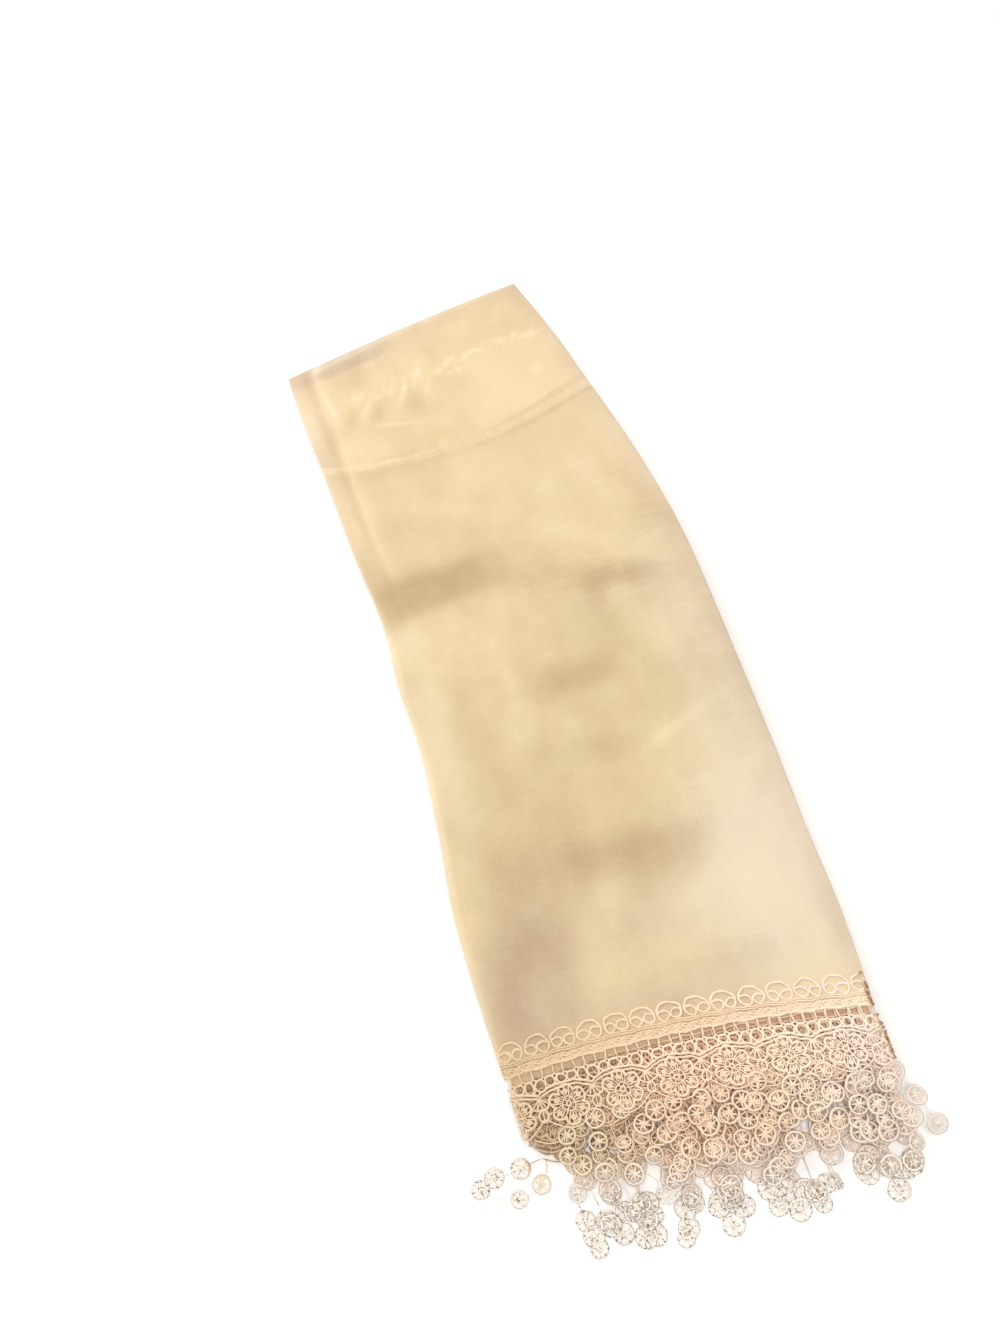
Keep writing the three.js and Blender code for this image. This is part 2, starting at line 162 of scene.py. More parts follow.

# Soft patches in the sheer layers: painted shade where shade is over 0, as over a hollow, and a painted
# highlight where it is under 0; cool where lower folds lie close under, and flat with a clear border where
# edge is over 1
PATCHES = np.array([
    # x, y, half length, half width, turn, painted shade, cool, edge
    [-42, 101, 37, 12.5, 1, 0.5, 0, 2.2],
    [-42, 101, 46, 22, 2, 0.16, 0, 1.3],
    [-72, 99, 16, 16, 10, 0.22, 0, 2],
    [-78, 112, 12, 30, 0, 0.16, 0.1, 1],
    [54, 71, 22, 8, -15, 0.4, 0.2, 1.4],
    [36, 63, 14, 8, 80, 0.24, 0.2, 1.2],
    [9, 20, 26, 10, -2, 0.32, 0, 1.4],
    [2, -25, 22, 10, -10, 0.24, 0.1, 1],
    [-31, 16, 17, 17, -10, 0.05, 0, 1],
    [4, -87, 47, 15, -7, 0.42, 0.25, 1.3],
    [-52, -68, 34, 18, -10, 0.3, 0.1, 1],
    [-64, -128, 42, 27, -112, 0.52, 0.7, 1.3],
    [-2, -123, 28, 30, -115, 0.12, 0.4, 1],
    [66, -120, 58, 38, -92, -0.3, 1, 1],
    [47, -154, 30, 10, -1, 0.3, 0.2, 1.2],
    [0, -163, 62, 9, -7, 0.08, 0.4, 1],
    [26, 20, 62, 62, 0, 0.18, 0.1, 1],
    [-50, -22, 34, 60, 0, 0.2, 0.1, 1],
    [76, -52, 22, 62, 0, -0.18, 0.3, 1],
    [44, 152, 34, 26, -30, -0.14, 0.1, 1],
    [40, 136, 30, 18, -20, -0.2, 0, 1],
    [-15, 172, 32, 14, 0, -0.15, 0, 1],
    [-78, 6, 75, 14, -91, -0.1, 0.35, 1],
    [14, 90, 28, 15, -12, 0.2, -0.2, 1],
    [-2, 210, 66, 12, -7, -0.08, 0, 1],
    [-38, 268, 62, 14, 2, 0.25, 0.2, 1],
    [82, 20, 90, 18, -88, 0, 0.5, 1],
    [-85, 125, 34, 5, -83, 0.3, 0.2, 1],
    [-90, 225, 70, 9, -88, 0.05, 0.6, 1],
    [0, -75, 150, 105, 0, 0.2, 0, 1.2],
    [-58, -167, 42, 13, -7, 0.35, 0.1, 1],
    [10, -177, 45, 12, -7, 0.28, 0.1, 1],
    [-82, -146, 34, 12, -92, 0.32, 0.3, 1],
    [92, -146, 30, 8, -92, 0.3, 0.3, 1],
    [50, 56, 34, 20, -5, 0.2, 0.1, 1],
    [-60, 191, 28, 8, -5, 0.26, 0, 1],
    [-76, 221, 8, 14, 0, 0.32, 0.1, 1],
    [-55, 221, 26, 10, -5, 0.14, 0, 1],
    [-10, 198, 75, 14, -5, 0.13, 0, 1],
    [-14, 219, 9, 8, 0, 0.28, 0, 1],
    [42, -85, 26, 32, 0, 0.16, 0, 1],
    [-57, 115, 14, 6, 0, 0.15, 0, 1],
])

# Stitch lines across the cloth, as the drop at its left and right edges
HEADER_STITCH = (0.062, 0.082)
POCKET_STITCH = (0.157, 0.180)
POCKET_PAIR = 3.6 * MM
SIDE_HEM = 16 * MM
SEAM_RIDGE = 18 * MM
HEM_PLY = 0.4 * MM
SIDE_HEM_ENDS = (0.25, 0.45)
ROW_WIDTH = 185 * MM


def through_stops(at, stops, values):
    """Curve through a table: between two stops a cubic that has the table's own slope at both."""
    slopes = np.gradient(values, stops, axis=0)
    low = np.clip(np.searchsorted(stops, at, side="right") - 1, 0, len(stops) - 2)
    gap = stops[low + 1] - stops[low]
    share = (at - stops[low]) / gap
    if values.ndim > 1:
        gap, share = gap[..., None], share[..., None]
    rest = 1 - share
    return ((1 + 2 * share) * rest**2 * values[low] + share * rest**2 * gap * slopes[low]
            + (1 + 2 * rest) * share**2 * values[low + 1] - rest * share**2 * gap * slopes[low + 1])


def smoothstep(value, low, high):
    """Rises from 0 at low to 1 at high along 3s^2 - 2s^3."""
    share = np.clip((value - low) / (high - low), 0, 1)
    return share * share * (3 - 2 * share)


def bell(value, width):
    """exp(-(value / width)^2): 1 at 0, fading to both sides."""
    return np.exp(-(value / width) ** 2)


def unit(vectors):
    """Each vector at a length of 1."""
    return vectors / np.linalg.norm(vectors, axis=-1, keepdims=True)


def side_points(drop):
    """Left and right ends of the row at each drop."""
    sides = through_stops(drop, ROW_DROPS, ROW_SIDES)
    return sides[..., :2], sides[..., 2:]


def row_share(point, drop):
    """How far across its row a point is: 0 at the left side and 1 at the right one."""
    left, right = side_points(drop)
    return (point[..., 0] - left[..., 0]) / (right[..., 0] - left[..., 0])


def turn_point(turn, drop):
    """Where the cloth turns: the side's point, drawn in along its row and slipped towards the lace."""
    left, right = side_points(drop)
    side, inset_top, inset_hem, slip = TURNS[turn]
    inset = (inset_top + (inset_hem - inset_top) * drop) * MM
    share = inset / np.linalg.norm(right - left, axis=-1)
    share = share if side == LEFT else 1 - share
    point = left + (right - left) * share[..., None]
    point[..., 1] -= slip * MM
    return point


def humps(point, centre, half_length, half_width, turn, edge=1.0):
    """Soft humps: exp(-|p / half length|^2e - |q / half width|^2e), with p and q turned with each one.
    A hump has a flatter top and a clearer border where its edge e is over 1."""
    dx = point[..., :1] - centre[:, 0]
    dy = point[..., 1:2] - centre[:, 1]
    angle = np.radians(turn)
    p = (dx * np.cos(angle) + dy * np.sin(angle)) / half_length
    q = (dy * np.cos(angle) - dx * np.sin(angle)) / half_width
    return np.exp(-np.abs(p) ** (2 * edge) - np.abs(q) ** (2 * edge))


def hump_rows(point, table, edge=1.0):
    """Shape at each point of every row of creases or patches, from 0 to 1."""
    return humps(point, table[:, :2] * MM, table[:, 2] * MM, table[:, 3] * MM, table[:, 4], edge)


def stitch_drop(stitch, share):
    """Drop of a stitch line at a share of the width."""
    return stitch[0] + (stitch[1] - stitch[0]) * share


def below_stitch(stitch, share, drop):
    """Millimetres down the cloth from a stitch line."""
    return (drop - stitch_drop(stitch, share)) * DROP_LENGTH / MM


def header_blobs(share, drop):
    """Uneven tufts along the header's stitches, from -1 to 1: slanting waves of several lengths, strong in
    some stretches and weak in others."""
    across, below = share * ROW_WIDTH / MM, below_stitch(HEADER_STITCH, share, drop)
    slant = across + 0.45 * below
    strength = 0.7 + 0.45 * np.sin(across / 9.5 + 1.5 * np.sin(across / 17.0) + 0.6)
    waves = 0.6 * np.sin(slant / 1.5 + 1.9 * np.sin(across / 6.1)) + 0.4 * np.sin(slant / 0.9 + 2.0)
    middle = 1.9 * np.sin(across / 2.9) + 1.2 * np.sin(across / 7.1 + 1.0)
    return strength * smoothstep(across, 20, 34) * waves * bell(below - middle, 4.2)


def puckers(share, drop):
    """Cloth drawn up by its stitches: short uneven waves along a line that fade to both sides of it."""
    across, below = share * ROW_WIDTH / MM, below_stitch(HEADER_STITCH, share, drop)
    long = np.sin(across / 3.7 + 0.9) + 0.5 * np.sin(across / 7.3 + 0.3 * np.sin(across / 2.9))
    header = 0.3 * header_blobs(share, drop)
    header += 0.25 * long * np.exp(-np.abs(below) / np.where(below > 0, 17, 9))
    below, pair = below_stitch(POCKET_STITCH, share, drop), POCKET_PAIR / MM
    fine = np.sin(across / 1.3 + 1.1 * np.sin(across / 4.3))
    pocket = 0.22 * fine * bell(below, 3.5) - 0.5 * bell(below, 1.5) - 0.35 * bell(below - pair, 1.5)
    pocket += 0.35 * bell(below - pair / 2, 1.1)
    return (header + pocket) * MM


def crinkles(point, drop):
    """Fine slanting wrinkles near the side fold and a slow unevenness all over."""
    x, y = point[..., 0] / MM, point[..., 1] / MM
    beside_fold = bell(x - 66, 24) * bell(y - 75, 55)
    fine = 0.20 * beside_fold * np.sin(1.2 * y - 0.12 * x + 1.6 * np.sin(0.09 * x + 0.05 * y))
    slow = 0.20 * np.sin(0.093 * x + 0.041 * y) * np.sin(0.067 * y - 0.052 * x + 1.0)
    middle = 0.14 * np.sin(0.23 * x - 0.13 * y + 2 * np.sin(0.035 * y))
    return (fine + slow + middle) * smoothstep(drop, 0.0, 0.06) * MM


def relief(point, drop):
    """Height of the upper layers over their level: swells, creases, puckers and crinkles together."""
    share = np.clip(row_share(point, drop), 0, 1)
    fade = 1 - smoothstep(drop, PUFFED_TO, FLAT_FROM)
    left, right = side_points(SWELLS[:, 1])
    centres = left + (right - left) * SWELLS[:, :1]
    swells = humps(point, centres, SWELLS[:, 2] * MM, SWELLS[:, 3] * MM, SWELLS[:, 4])
    height = swells @ (SWELLS[:, 5] * MM) + hump_rows(point, CREASES) @ (CREASES[:, 5] * MM)
    return fade * (height + crinkles(point, drop)) + puckers(share, drop)


def layer_height(layer, point, drop):
    """Height of a layer: its place in the stack and its share of the relief."""
    return LOWEST_LAYER + (LAYERS - 1 - layer) * LAYER_PITCH + LIFTS[layer] * relief(point, drop)


def fold_radius(layer, point, drop):
    """Half the height from the next layer down up to this one."""
    return (layer_height(layer, point, drop) - layer_height(layer + 1, point, drop)) / 2


def layer_ends(layer, drop):
    """Ends of a layer: its two turns, drawn in by the radius of the round fold at each."""
    start, end = turn_point(layer, drop), turn_point(layer + 1, drop)
    along = unit(end - start)
    if layer > 0:
        start = start + along * fold_radius(layer - 1, start, drop)[..., None]
    if layer < LAYERS - 1:
        end = end - along * fold_radius(layer, end, drop)[..., None]
    return start, end


def row_bow(share, drop):
    """How far a row is drawn off straight: a parabola that is 0 at both ends."""
    return through_stops(drop, BOW[:, 0], BOW[:, 1] * MM) * 4 * share * (1 - share)


def on_layer(layer, station, drop):
    """Points of a layer at shares of its width, counted the way the cloth runs."""
    start, end = layer_ends(layer, drop)
    point = start + (end - start) * station[..., None]
    point[..., 1] += row_bow(station, drop)
    height = layer_height(layer, point, drop)
    if layer == 0:
        inward = station * np.linalg.norm(end - start, axis=-1)
        hem = 1 - smoothstep(inward, SIDE_HEM, SIDE_HEM + 1.5 * MM)
        ridge = bell(inward - SEAM_RIDGE, 2.6 * MM)
        height = height + HEM_PLY * (hem + 1.1 * ridge) * (1 - smoothstep(drop, *SIDE_HEM_ENDS))
    return np.concatenate([point, height[..., None]], axis=-1)


def round_fold(layer, drop, angles):
    """Half-round turn from a layer to the next one down, at angles from straight up to straight down."""
    start, end = layer_ends(layer, drop)
    radius = fold_radius(layer, end, drop)
    point = end + unit(end - start) * (radius * np.cos(angles))[..., None]
    height = layer_height(layer + 1, end, drop) + radius + radius * np.sin(angles)
    return np.concatenate([point, height[..., None]], axis=-1)


def grid_faces(rows, columns):
    """Quads of a grid of points."""
    index = np.arange(rows * columns).reshape(rows, columns)
    corners = [index[:-1, :-1], index[1:, :-1], index[1:, 1:], index[:-1, 1:]]
    return np.stack(corners, axis=-1).reshape(-1, 4)


def in_scene(name, data):
    """New object of a mesh, a lamp or a camera."""
    item = bpy.data.objects.new(name, data)
    bpy.context.scene.collection.objects.link(item)
    return item


def mesh_piece(name, points, faces, material, **values):
    """New object from arrays of points and quads, smooth, with a float on each point for each value."""
    points = np.ascontiguousarray(points, dtype=np.float32).reshape(-1, 3)
    mesh = bpy.data.meshes.new(name)
    mesh.vertices.add(len(points))
    mesh.vertices.foreach_set("co", points.ravel())
    mesh.loops.add(faces.size)
    mesh.loops.foreach_set("vertex_index", np.ascontiguousarray(faces, dtype=np.int32).ravel())
    mesh.polygons.add(len(faces))
    mesh.polygons.foreach_set("loop_start", np.arange(0, faces.size, 4, dtype=np.int32))
    mesh.update(calc_edges=True)
    mesh.shade_smooth()
    for key, value in values.items():
        spread = np.broadcast_to(np.ravel(value), len(points)).astype(np.float32)
        mesh.attributes.new(key, "FLOAT", "POINT").data.foreach_set("value", spread)
    mesh.materials.append(material)
    mesh.validate()
    return in_scene(name, mesh)


def flat_map(piece, across, down):
    """UV map in metres of the cloth laid flat: across it and down its drop, one pair for each point."""
    corners = np.empty(len(piece.data.loops), dtype=np.int32)
    piece.data.loops.foreach_get("vertex_index", corners)
    places = np.stack([across, down], axis=-1)[corners].astype(np.float32)
    piece.data.uv_layers.new(name="flat").data.foreach_set("uv", places.ravel())


def tint(red, green, blue):
    """Linear colour of a picture's 0 to 255 values."""
    value = np.array([red, green, blue]) / 255
    linear = np.where(value < 0.04045, value / 12.92, ((value + 0.055) / 1.055) ** 2.4)
    return (*linear.tolist(), 1.0)


class Signal:
    """An output socket of a material's nodes; sums and products of signals add Math nodes."""

    def __init__(self, tree, socket=None):
        self.tree = tree
        self.socket = socket

    def node(self, kind, settings, inputs, output=0):
        """Adds a node: its settings first, then a number or a link on each of the named sockets."""
        node = self.tree.nodes.new(kind)
        for name, setting in settings.items():
            setattr(node, name, setting)
        for name, value in inputs.items():
            if isinstance(value, Signal):
                self.tree.links.new(value.socket, node.inputs[name])
            else:
                node.inputs[name].default_value = value
        return Signal(self.tree, node.outputs[output] if node.outputs else None)

    def maths(self, operation, first, second):
        """Two values added, subtracted or multiplied."""
        return self.node("ShaderNodeMath", {"operation": operation}, {0: first, 1: second})

    def attribute(self, name):
        """The float that the mesh has on each point under this name."""
        return self.node("ShaderNodeAttribute", {"attribute_name": name}, {}, output=2)

    def object_place(self):
        """Where each point is in its object."""
        return self.node("ShaderNodeTexCoord", {}, {}, output="Object")

    def noise(self, place, scale, detail):
        """Noise with this many features per metre."""
        return self.node("ShaderNodeTexNoise", {}, {"Vector": place, "Scale": scale, "Detail": detail})

    def bump(self, strength, distance, height):
        """Normal bent by a height."""
        inputs = {"Strength": strength, "Distance": distance, "Height": height}
        return self.node("ShaderNodeBump", {}, inputs)

    def blend(self, low, high, how="MIX"):
        """Colour from low, where the signal is 0, to high where it is 1, or to low times high."""
        settings = {"data_type": "RGBA", "blend_type": how}
        return self.node("ShaderNodeMix", settings, {0: self, 6: low, 7: high}, output=2)

    def between(self, low, high):
        """The signal from low to high stretched to 0 to 1, and held there."""
        return self.node("ShaderNodeMapRange", {}, {0: self, 1: low, 2: high})

    def __add__(self, other):
        return self.maths("ADD", self, other)

    def __sub__(self, other):
        return self.maths("SUBTRACT", self, other)

    def __mul__(self, other):
        return self.maths("MULTIPLY", self, other)

    def __rsub__(self, other):
        return self.maths("SUBTRACT", other, self)

    __radd__ = __add__
    __rmul__ = __mul__


def new_material(name):
    """Empty node material: its start signal and a function that ends it in a Principled surface."""
    material = bpy.data.materials.new(name)
    material.use_nodes = True
    tree = material.node_tree
    tree.nodes.clear()
    start = Signal(tree)

    def finish(inputs):
        surface = start.node("ShaderNodeBsdfPrincipled", {}, inputs)
        start.node("ShaderNodeOutputMaterial", {}, {"Surface": surface})
        return material

    return start, finish


def streaks(start, place, across, along, seed):
    """Noise drawn out along one way of the weave: features per metre across and along the threads."""
    inputs = {"Vector": place, "Scale": (across, along, 1.0), "Location": (seed, seed, 0.0)}
    drawn = start.node("ShaderNodeMapping", {}, inputs)
    return start.node("ShaderNodeTexNoise", {"noise_dimensions": "2D"},
                      {"Vector": drawn, "Scale": 1.0, "Detail": 2.0, "Roughness": 0.6})


# VOILE_SHADE, COOL_SHADE and VOILE_LIGHT are painted shade and highlight, and VOILE_DIM is the darker side
# of the clouds. ROSY_HEM is painted warm shade on the hems under the lace, and a rosy tone higher up
VOILE = tint(241, 219, 175)
VOILE_SHADE = tint(201, 175, 130)
VOILE_LIGHT = tint(253, 236, 202)
VOILE_DIM = tint(235, 214, 168)
COOL_VOILE = tint(238, 222, 197)
COOL_SHADE = tint(198, 172, 141)
ROSY_HEM = tint(232, 188, 156)


def voile_material():
    """Plain sheer weave: fine uneven threads both ways, thin enough to show what lies under it."""
    start, finish = new_material("voile")
    place = start.node("ShaderNodeUVMap", {"uv_map": "flat"}, {})
    warp = streaks(start, place, 1100.0, 70.0, 0.0)
    weft = streaks(start, place, 80.0, 1000.0, 3.7)
    cloudy = streaks(start, place, 26.0, 18.0, 8.1)
    mottled = streaks(start, place, 75.0, 40.0, 5.3)
    crinkled = (streaks(start, place, 65.0, 380.0, 1.9) - 0.5) * start.attribute("crinkle")
    threads = warp * 0.5 + weft * 0.5
    cool = start.attribute("cool")
    # Painted shade and highlights: the shade attribute with the noise of clouds, mottle, threads and
    # crinkles darkens the colour towards the shade colours and lightens it towards VOILE_LIGHT; the clouds
    # are uneven tone and also stand in for a silky sheen
    shaded = start.attribute("shade") + (cloudy - 0.5) * 0.6 + (mottled - 0.5) * 0.25
    shaded = shaded + (threads - 0.5) * 0.25 + crinkled * 0.5
    body = cool.blend(cloudy.between(0.35, 0.7).blend(VOILE, VOILE_DIM), COOL_VOILE)
    colour = shaded.between(0.0, 1.0).blend(body, cool.blend(VOILE_SHADE, COOL_SHADE))
    colour = (0 - shaded).between(0.0, 1.0).blend(colour, VOILE_LIGHT)
    colour = start.attribute("rosy").blend(colour, ROSY_HEM)
    bump = start.bump(0.5, 1.2 * MM, threads * 0.15 + crinkled * 0.5)
    cover = 1 - start.attribute("sheer") * (0.20 - start.attribute("plies") * 0.12 + (threads - 0.5) * 0.10)
    return finish({
        "Base Color": colour, "Roughness": 0.62 + (threads - 0.5) * 0.3, "Alpha": cover, "Normal": bump,
        "Sheen Weight": 0.35, "Sheen Roughness": 0.4, "Sheen Tint": VOILE_LIGHT, "Specular IOR Level": 0.25,
    })


LAYER_STATIONS = (161, 61, 31, 11, 11, 11, 11)
FOLD_ANGLES = np.radians(np.linspace(90, -90, 9))[1:-1]
SHEER_LAYERS = np.array([1, 1, 1, 0, 0, 0, 0])
SHADED_LAYERS = np.array([1, 0.5, 0.2, 0, 0, 0, 0])
drops = np.concatenate([np.linspace(0, 0.2, 72)[:-1], np.linspace(0.2, 1, 150)])
columns, column_layers = [], []
for layer, count in enumerate(LAYER_STATIONS):
    columns.append(on_layer(layer, *np.meshgrid(np.linspace(0, 1, count), drops)))
    column_layers += [layer] * count
    if layer < LAYERS - 1:
        columns.append(round_fold(layer, drops[:, None], FOLD_ANGLES))
        column_layers += [layer] * len(FOLD_ANGLES)
cloth_points = np.concatenate(columns, axis=1)
column_layers = np.array(column_layers)
row_count, column_count = cloth_points.shape[:2]

# What the weave shows at each point: the header and pocket are of two plies, but for a strip along the top
# edge at the left, which is painted darker and cooler. The side hem has a ridge beside its seam with a
# painted highlight, the top edge is painted darker and cooler, and the right fold's edge and the hollows get
# painted shade
down = drops[:, None]
on_top = column_layers == 0
cloth_x, cloth_y = cloth_points[..., 0], cloth_points[..., 1]
cloth_share = row_share(cloth_points, down)
from_edge = np.linalg.norm(cloth_points[..., :2] - cloth_points[:, :1, :2], axis=-1)
from_fold = np.linalg.norm(cloth_points[..., :2] - side_points(down)[1], axis=-1)
single_ply = smoothstep(0.025 - down, 0.0, 0.004) * (1 - smoothstep(cloth_share, 0.3, 0.5))
in_heading = 1 - smoothstep(down, 0.165, 0.17)
side_hem = on_top * (1 - smoothstep(down, *SIDE_HEM_ENDS))
side_hem = side_hem * (1 - smoothstep(from_edge, SIDE_HEM, SIDE_HEM + 2 * MM))
# painted highlight on the side hem's seam ridge, and painted shade on the strip beside it, nearer the edge
ridge_highlight = bell(from_edge - SEAM_RIDGE, 3.4 * MM) * on_top * (1 - smoothstep(down, 0.2, 0.4))
ridge_side_shade = bell(from_edge - SEAM_RIDGE + 7 * MM, 3.5 * MM) * side_hem
seam = below_stitch(POCKET_STITCH, cloth_share, down) * MM - POCKET_PAIR / 2
# painted highlight along the puffed strip between the pocket's two stitch lines, and painted shade in a line
# below them
seam_highlight = 0.75 + 0.35 * np.sin(cloth_share * 88) * np.sin(cloth_share * 31 + 1)
seam_shade = bell(seam - 4.4 * MM, 1.8 * MM) * smoothstep(cloth_share, 0.2, 0.9)
# painted shade, cooler, along the rounded right fold
fold_shade = bell(from_fold, 9 * MM) * on_top
top_edge = 1 - smoothstep(down, 0.0, 0.03)
patches = hump_rows(cloth_points, PATCHES, PATCHES[:, 7])

cloth_shade = hump_rows(cloth_points, CREASES) @ CREASES[:, 6] + 1.15 * (patches @ PATCHES[:, 5])
cloth_shade += 0.3 * seam_shade - 0.5 * seam_highlight * bell(seam, 2.2 * MM)
# painted highlight on the crests of the header's tufts
cloth_shade -= 0.35 * np.maximum(header_blobs(cloth_share, down), 0)
cloth_shade += 0.15 * single_ply + 0.3 * fold_shade + 0.3 * top_edge
cloth_shade = cloth_shade * SHADED_LAYERS[column_layers] + 0.3 * ridge_side_shade - 0.35 * ridge_highlight
cloth_plies = np.clip(side_hem + in_heading - single_ply, 0, 1)
cloth_sheer = np.broadcast_to(SHEER_LAYERS[column_layers], cloth_shade.shape)
cloth_cool = patches @ PATCHES[:, 6] + 0.4 * single_ply + 0.6 * fold_shade + 0.4 * top_edge
# painted warm shade on the lower layers' hems, seen through the lace's open cells, weaker towards the left;
# and a slight rosy tone over the upper cloth
hem_rosy_shade = smoothstep(down, 0.94, 0.975) * (column_layers > 0)
hem_rosy_shade = hem_rosy_shade * (0.25 + 0.75 * smoothstep(cloth_x, -0.08, 0.06))
cloth_rosy = hem_rosy_shade + 0.11 * (1 - smoothstep(down, 0.25, 0.5))
cloth_crinkle = 0.3 + 0.7 * bell(cloth_x - 50 * MM, 48 * MM) * bell(cloth_y - 98 * MM, 42 * MM)

cloth = mesh_piece("valance_cloth_sheet", cloth_points, grid_faces(row_count, column_count),
                   voile_material(), shade=cloth_shade, plies=cloth_plies, sheer=cloth_sheer,
                   cool=np.clip(cloth_cool, 0, 1), rosy=cloth_rosy, crinkle=cloth_crinkle)
steps = np.linalg.norm(np.diff(cloth_points, axis=1), axis=-1).mean(axis=0)
across_flat = np.concatenate([[0], np.cumsum(steps)])
flat_map(cloth, np.tile(across_flat, row_count), np.repeat(drops * DROP_LENGTH, column_count))
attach(cloth, "root")
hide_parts("valance_cloth")

# Stitching: cream sewing thread in short lockstitches, one line under the header, a pair along the foot
# of the rod pocket and one down the side hem. The thread lies on the cloth and dips in at each end.
STITCH = 2.6 * MM
STITCH_GAP = 0.7 * MM
STITCH_RADIUS = 0.13 * MM
STITCH_POINTS = 5
TAPER = 0.08


def tubes(paths, radius, sides, flat=1.0, closed=False, reference=(0, 0, 1), first=TAPER):
    """Round cords along many paths of equally many points: at each point a ring of the radius, across
    the path and along the reference, flattened that way by flat. Open cords taper at their ends, at the
    first one to the share that is given."""
    size = np.full(paths.shape[1], radius)
    if closed:
        tangent = unit(np.roll(paths, -1, axis=1) - np.roll(paths, 1, axis=1))
    else:
        tangent = unit(np.gradient(paths, axis=1))
        size[[0, -1]] = radius * first, radius * TAPER
    aside = unit(np.cross(tangent, np.array(reference, dtype=float)))
    lift = np.cross(aside, tangent) * flat
    angle = np.linspace(0, 2 * np.pi, sides, endpoint=False)[:, None]
    ring = np.cos(angle) * aside[..., None, :] + np.sin(angle) * lift[..., None, :]
    points = paths[..., None, :] + ring * size[:, None, None]
    count, length = paths.shape[:2]
    index = np.arange(count * length * sides).reshape(count, length, sides)
    if closed:
        index = np.concatenate([index, index[:, :1]], axis=1)
    after = np.roll(index, -1, axis=2)
    faces = np.stack([index[:, :-1], index[:, 1:], after[:, 1:], after[:, :-1]], axis=-1)
    return points.reshape(-1, 3), faces.reshape(-1, 4)


def joined(parts):
    """One pair of arrays of points and quads from several."""
    starts = np.cumsum([0] + [len(points) for points, _ in parts])
    points = np.concatenate([points for points, _ in parts])
    faces = np.concatenate([faces + start for (_, faces), start in zip(parts, starts)])
    return points, faces


def stitch_paths(length, station_of, drop_of, sunk=0.2):
    """Paths of the stitches of one line: its stations and drops at shares of its length, sunk into the cloth
    by a share of the thread's radius."""
    count = int(length / (STITCH + STITCH_GAP))
    starts = np.arange(count)[:, None] / count
    share = starts + np.linspace(0, STITCH / (STITCH + STITCH_GAP), STITCH_POINTS)[None, :] / count
    paths = on_layer(0, station_of(share), drop_of(share))
    paths[..., 2] += STITCH_RADIUS * (0.9 * np.sin(np.pi * np.linspace(0, 1, STITCH_POINTS)) - sunk)
    return paths


THREAD_CREAM = tint(246, 226, 190)
THREAD_LIGHT = tint(253, 241, 216)


def thread_material():
    """Sewing thread: cream, a little glossy, with its twist as a fine bump."""
    start, finish = new_material("sewing_thread")
    twist = start.noise(start.object_place(), 2500.0, 1.0)
    return finish({
        "Base Color": twist.blend(THREAD_CREAM, THREAD_LIGHT), "Roughness": 0.45 + twist * 0.2,
        "Normal": start.bump(0.4, 0.1 * MM, twist), "Sheen Weight": 0.2,
    })


pair_drop = POCKET_PAIR / DROP_LENGTH
stitch_lines = [
    stitch_paths(0.16, lambda s: 0.02 + 0.97 * s, lambda s: stitch_drop(HEADER_STITCH, s), sunk=1.2),
    stitch_paths(0.168, lambda s: 0.01 + 0.98 * s, lambda s: stitch_drop(POCKET_STITCH, s)),
    stitch_paths(0.168, lambda s: 0.01 + 0.98 * s, lambda s: stitch_drop(POCKET_STITCH, s) + pair_drop),
    stitch_paths(0.16, lambda s: 0.112 - 0.01 * s, lambda s: 0.01 + 0.33 * s),
]
stitch_points, stitch_faces = tubes(np.concatenate(stitch_lines), STITCH_RADIUS, 5)
stitching = mesh_piece("stitching", stitch_points, stitch_faces, thread_material())
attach(stitching, "root")

# Lace hem: cream embroidered lace with no ground cloth, sewn over the cloth's lower edge and folded with it.
# From the top: a row of curled scrolls and a braided band on the cloth, then a ladder of open cells,
# a row of loops, double arches, and one flower to each repeat with a fan between.
LACE_LEVELS = np.array([11.8, 10.1, 8.2, 6.2, 4.2, 2.3, 0.7]) * MM
REPEATS_IN_ALL = 46
REPEATS_ON_TOP = 7
REPEATS_UNDER = (20, 19)
FIRST_REPEAT = -0.5
REPEAT = 28.0
TURNED_IN = 0.9 * MM
LACE_CLEAR = 0.05 * MM
BAND_TOP, BAND_WAVES = -6.8, 6
BAND_CORDS, BAND_BRAIDS = (-0.6, -5.3, -6.4), (-1.5, -2.6, -3.7)
ARCH_PEAK, ARCH_VALLEY, ARCH_PAIR = 9.7, 13.1, 1.9
LADDER_CELLS, LADDER_FOOT = 5, 4.6
LOOPS = 5
FLOWER = {"middle": 21.0, "eye": 1.3, "ring": 3.6, "notch": 6.2, "tip": 10.0, "petals": 6, "seed": 6.6}
FAN_REACH = 5.6
CORD_STEP = 0.9
OVERLAP = 1.0

# One scroll from its left inner end over the top to its right one: across, and up from the band
SCROLL = np.array([
    [-5.7, 4.4], [-4.2, 5.4], [-2.0, 5.2], [-0.5, 3.6], [-0.9, 1.6], [-2.7, 0.5], [-4.8, 0.9], [-6.1, 3.1],
    [-5.8, 6.1], [-3.6, 8.6], [0.0, 9.6], [3.6, 8.6], [5.8, 6.1], [6.1, 3.1], [4.8, 0.9], [2.7, 0.5],
    [0.9, 1.6], [0.5, 3.6], [2.0, 5.2], [4.2, 5.4], [5.7, 4.4],
])


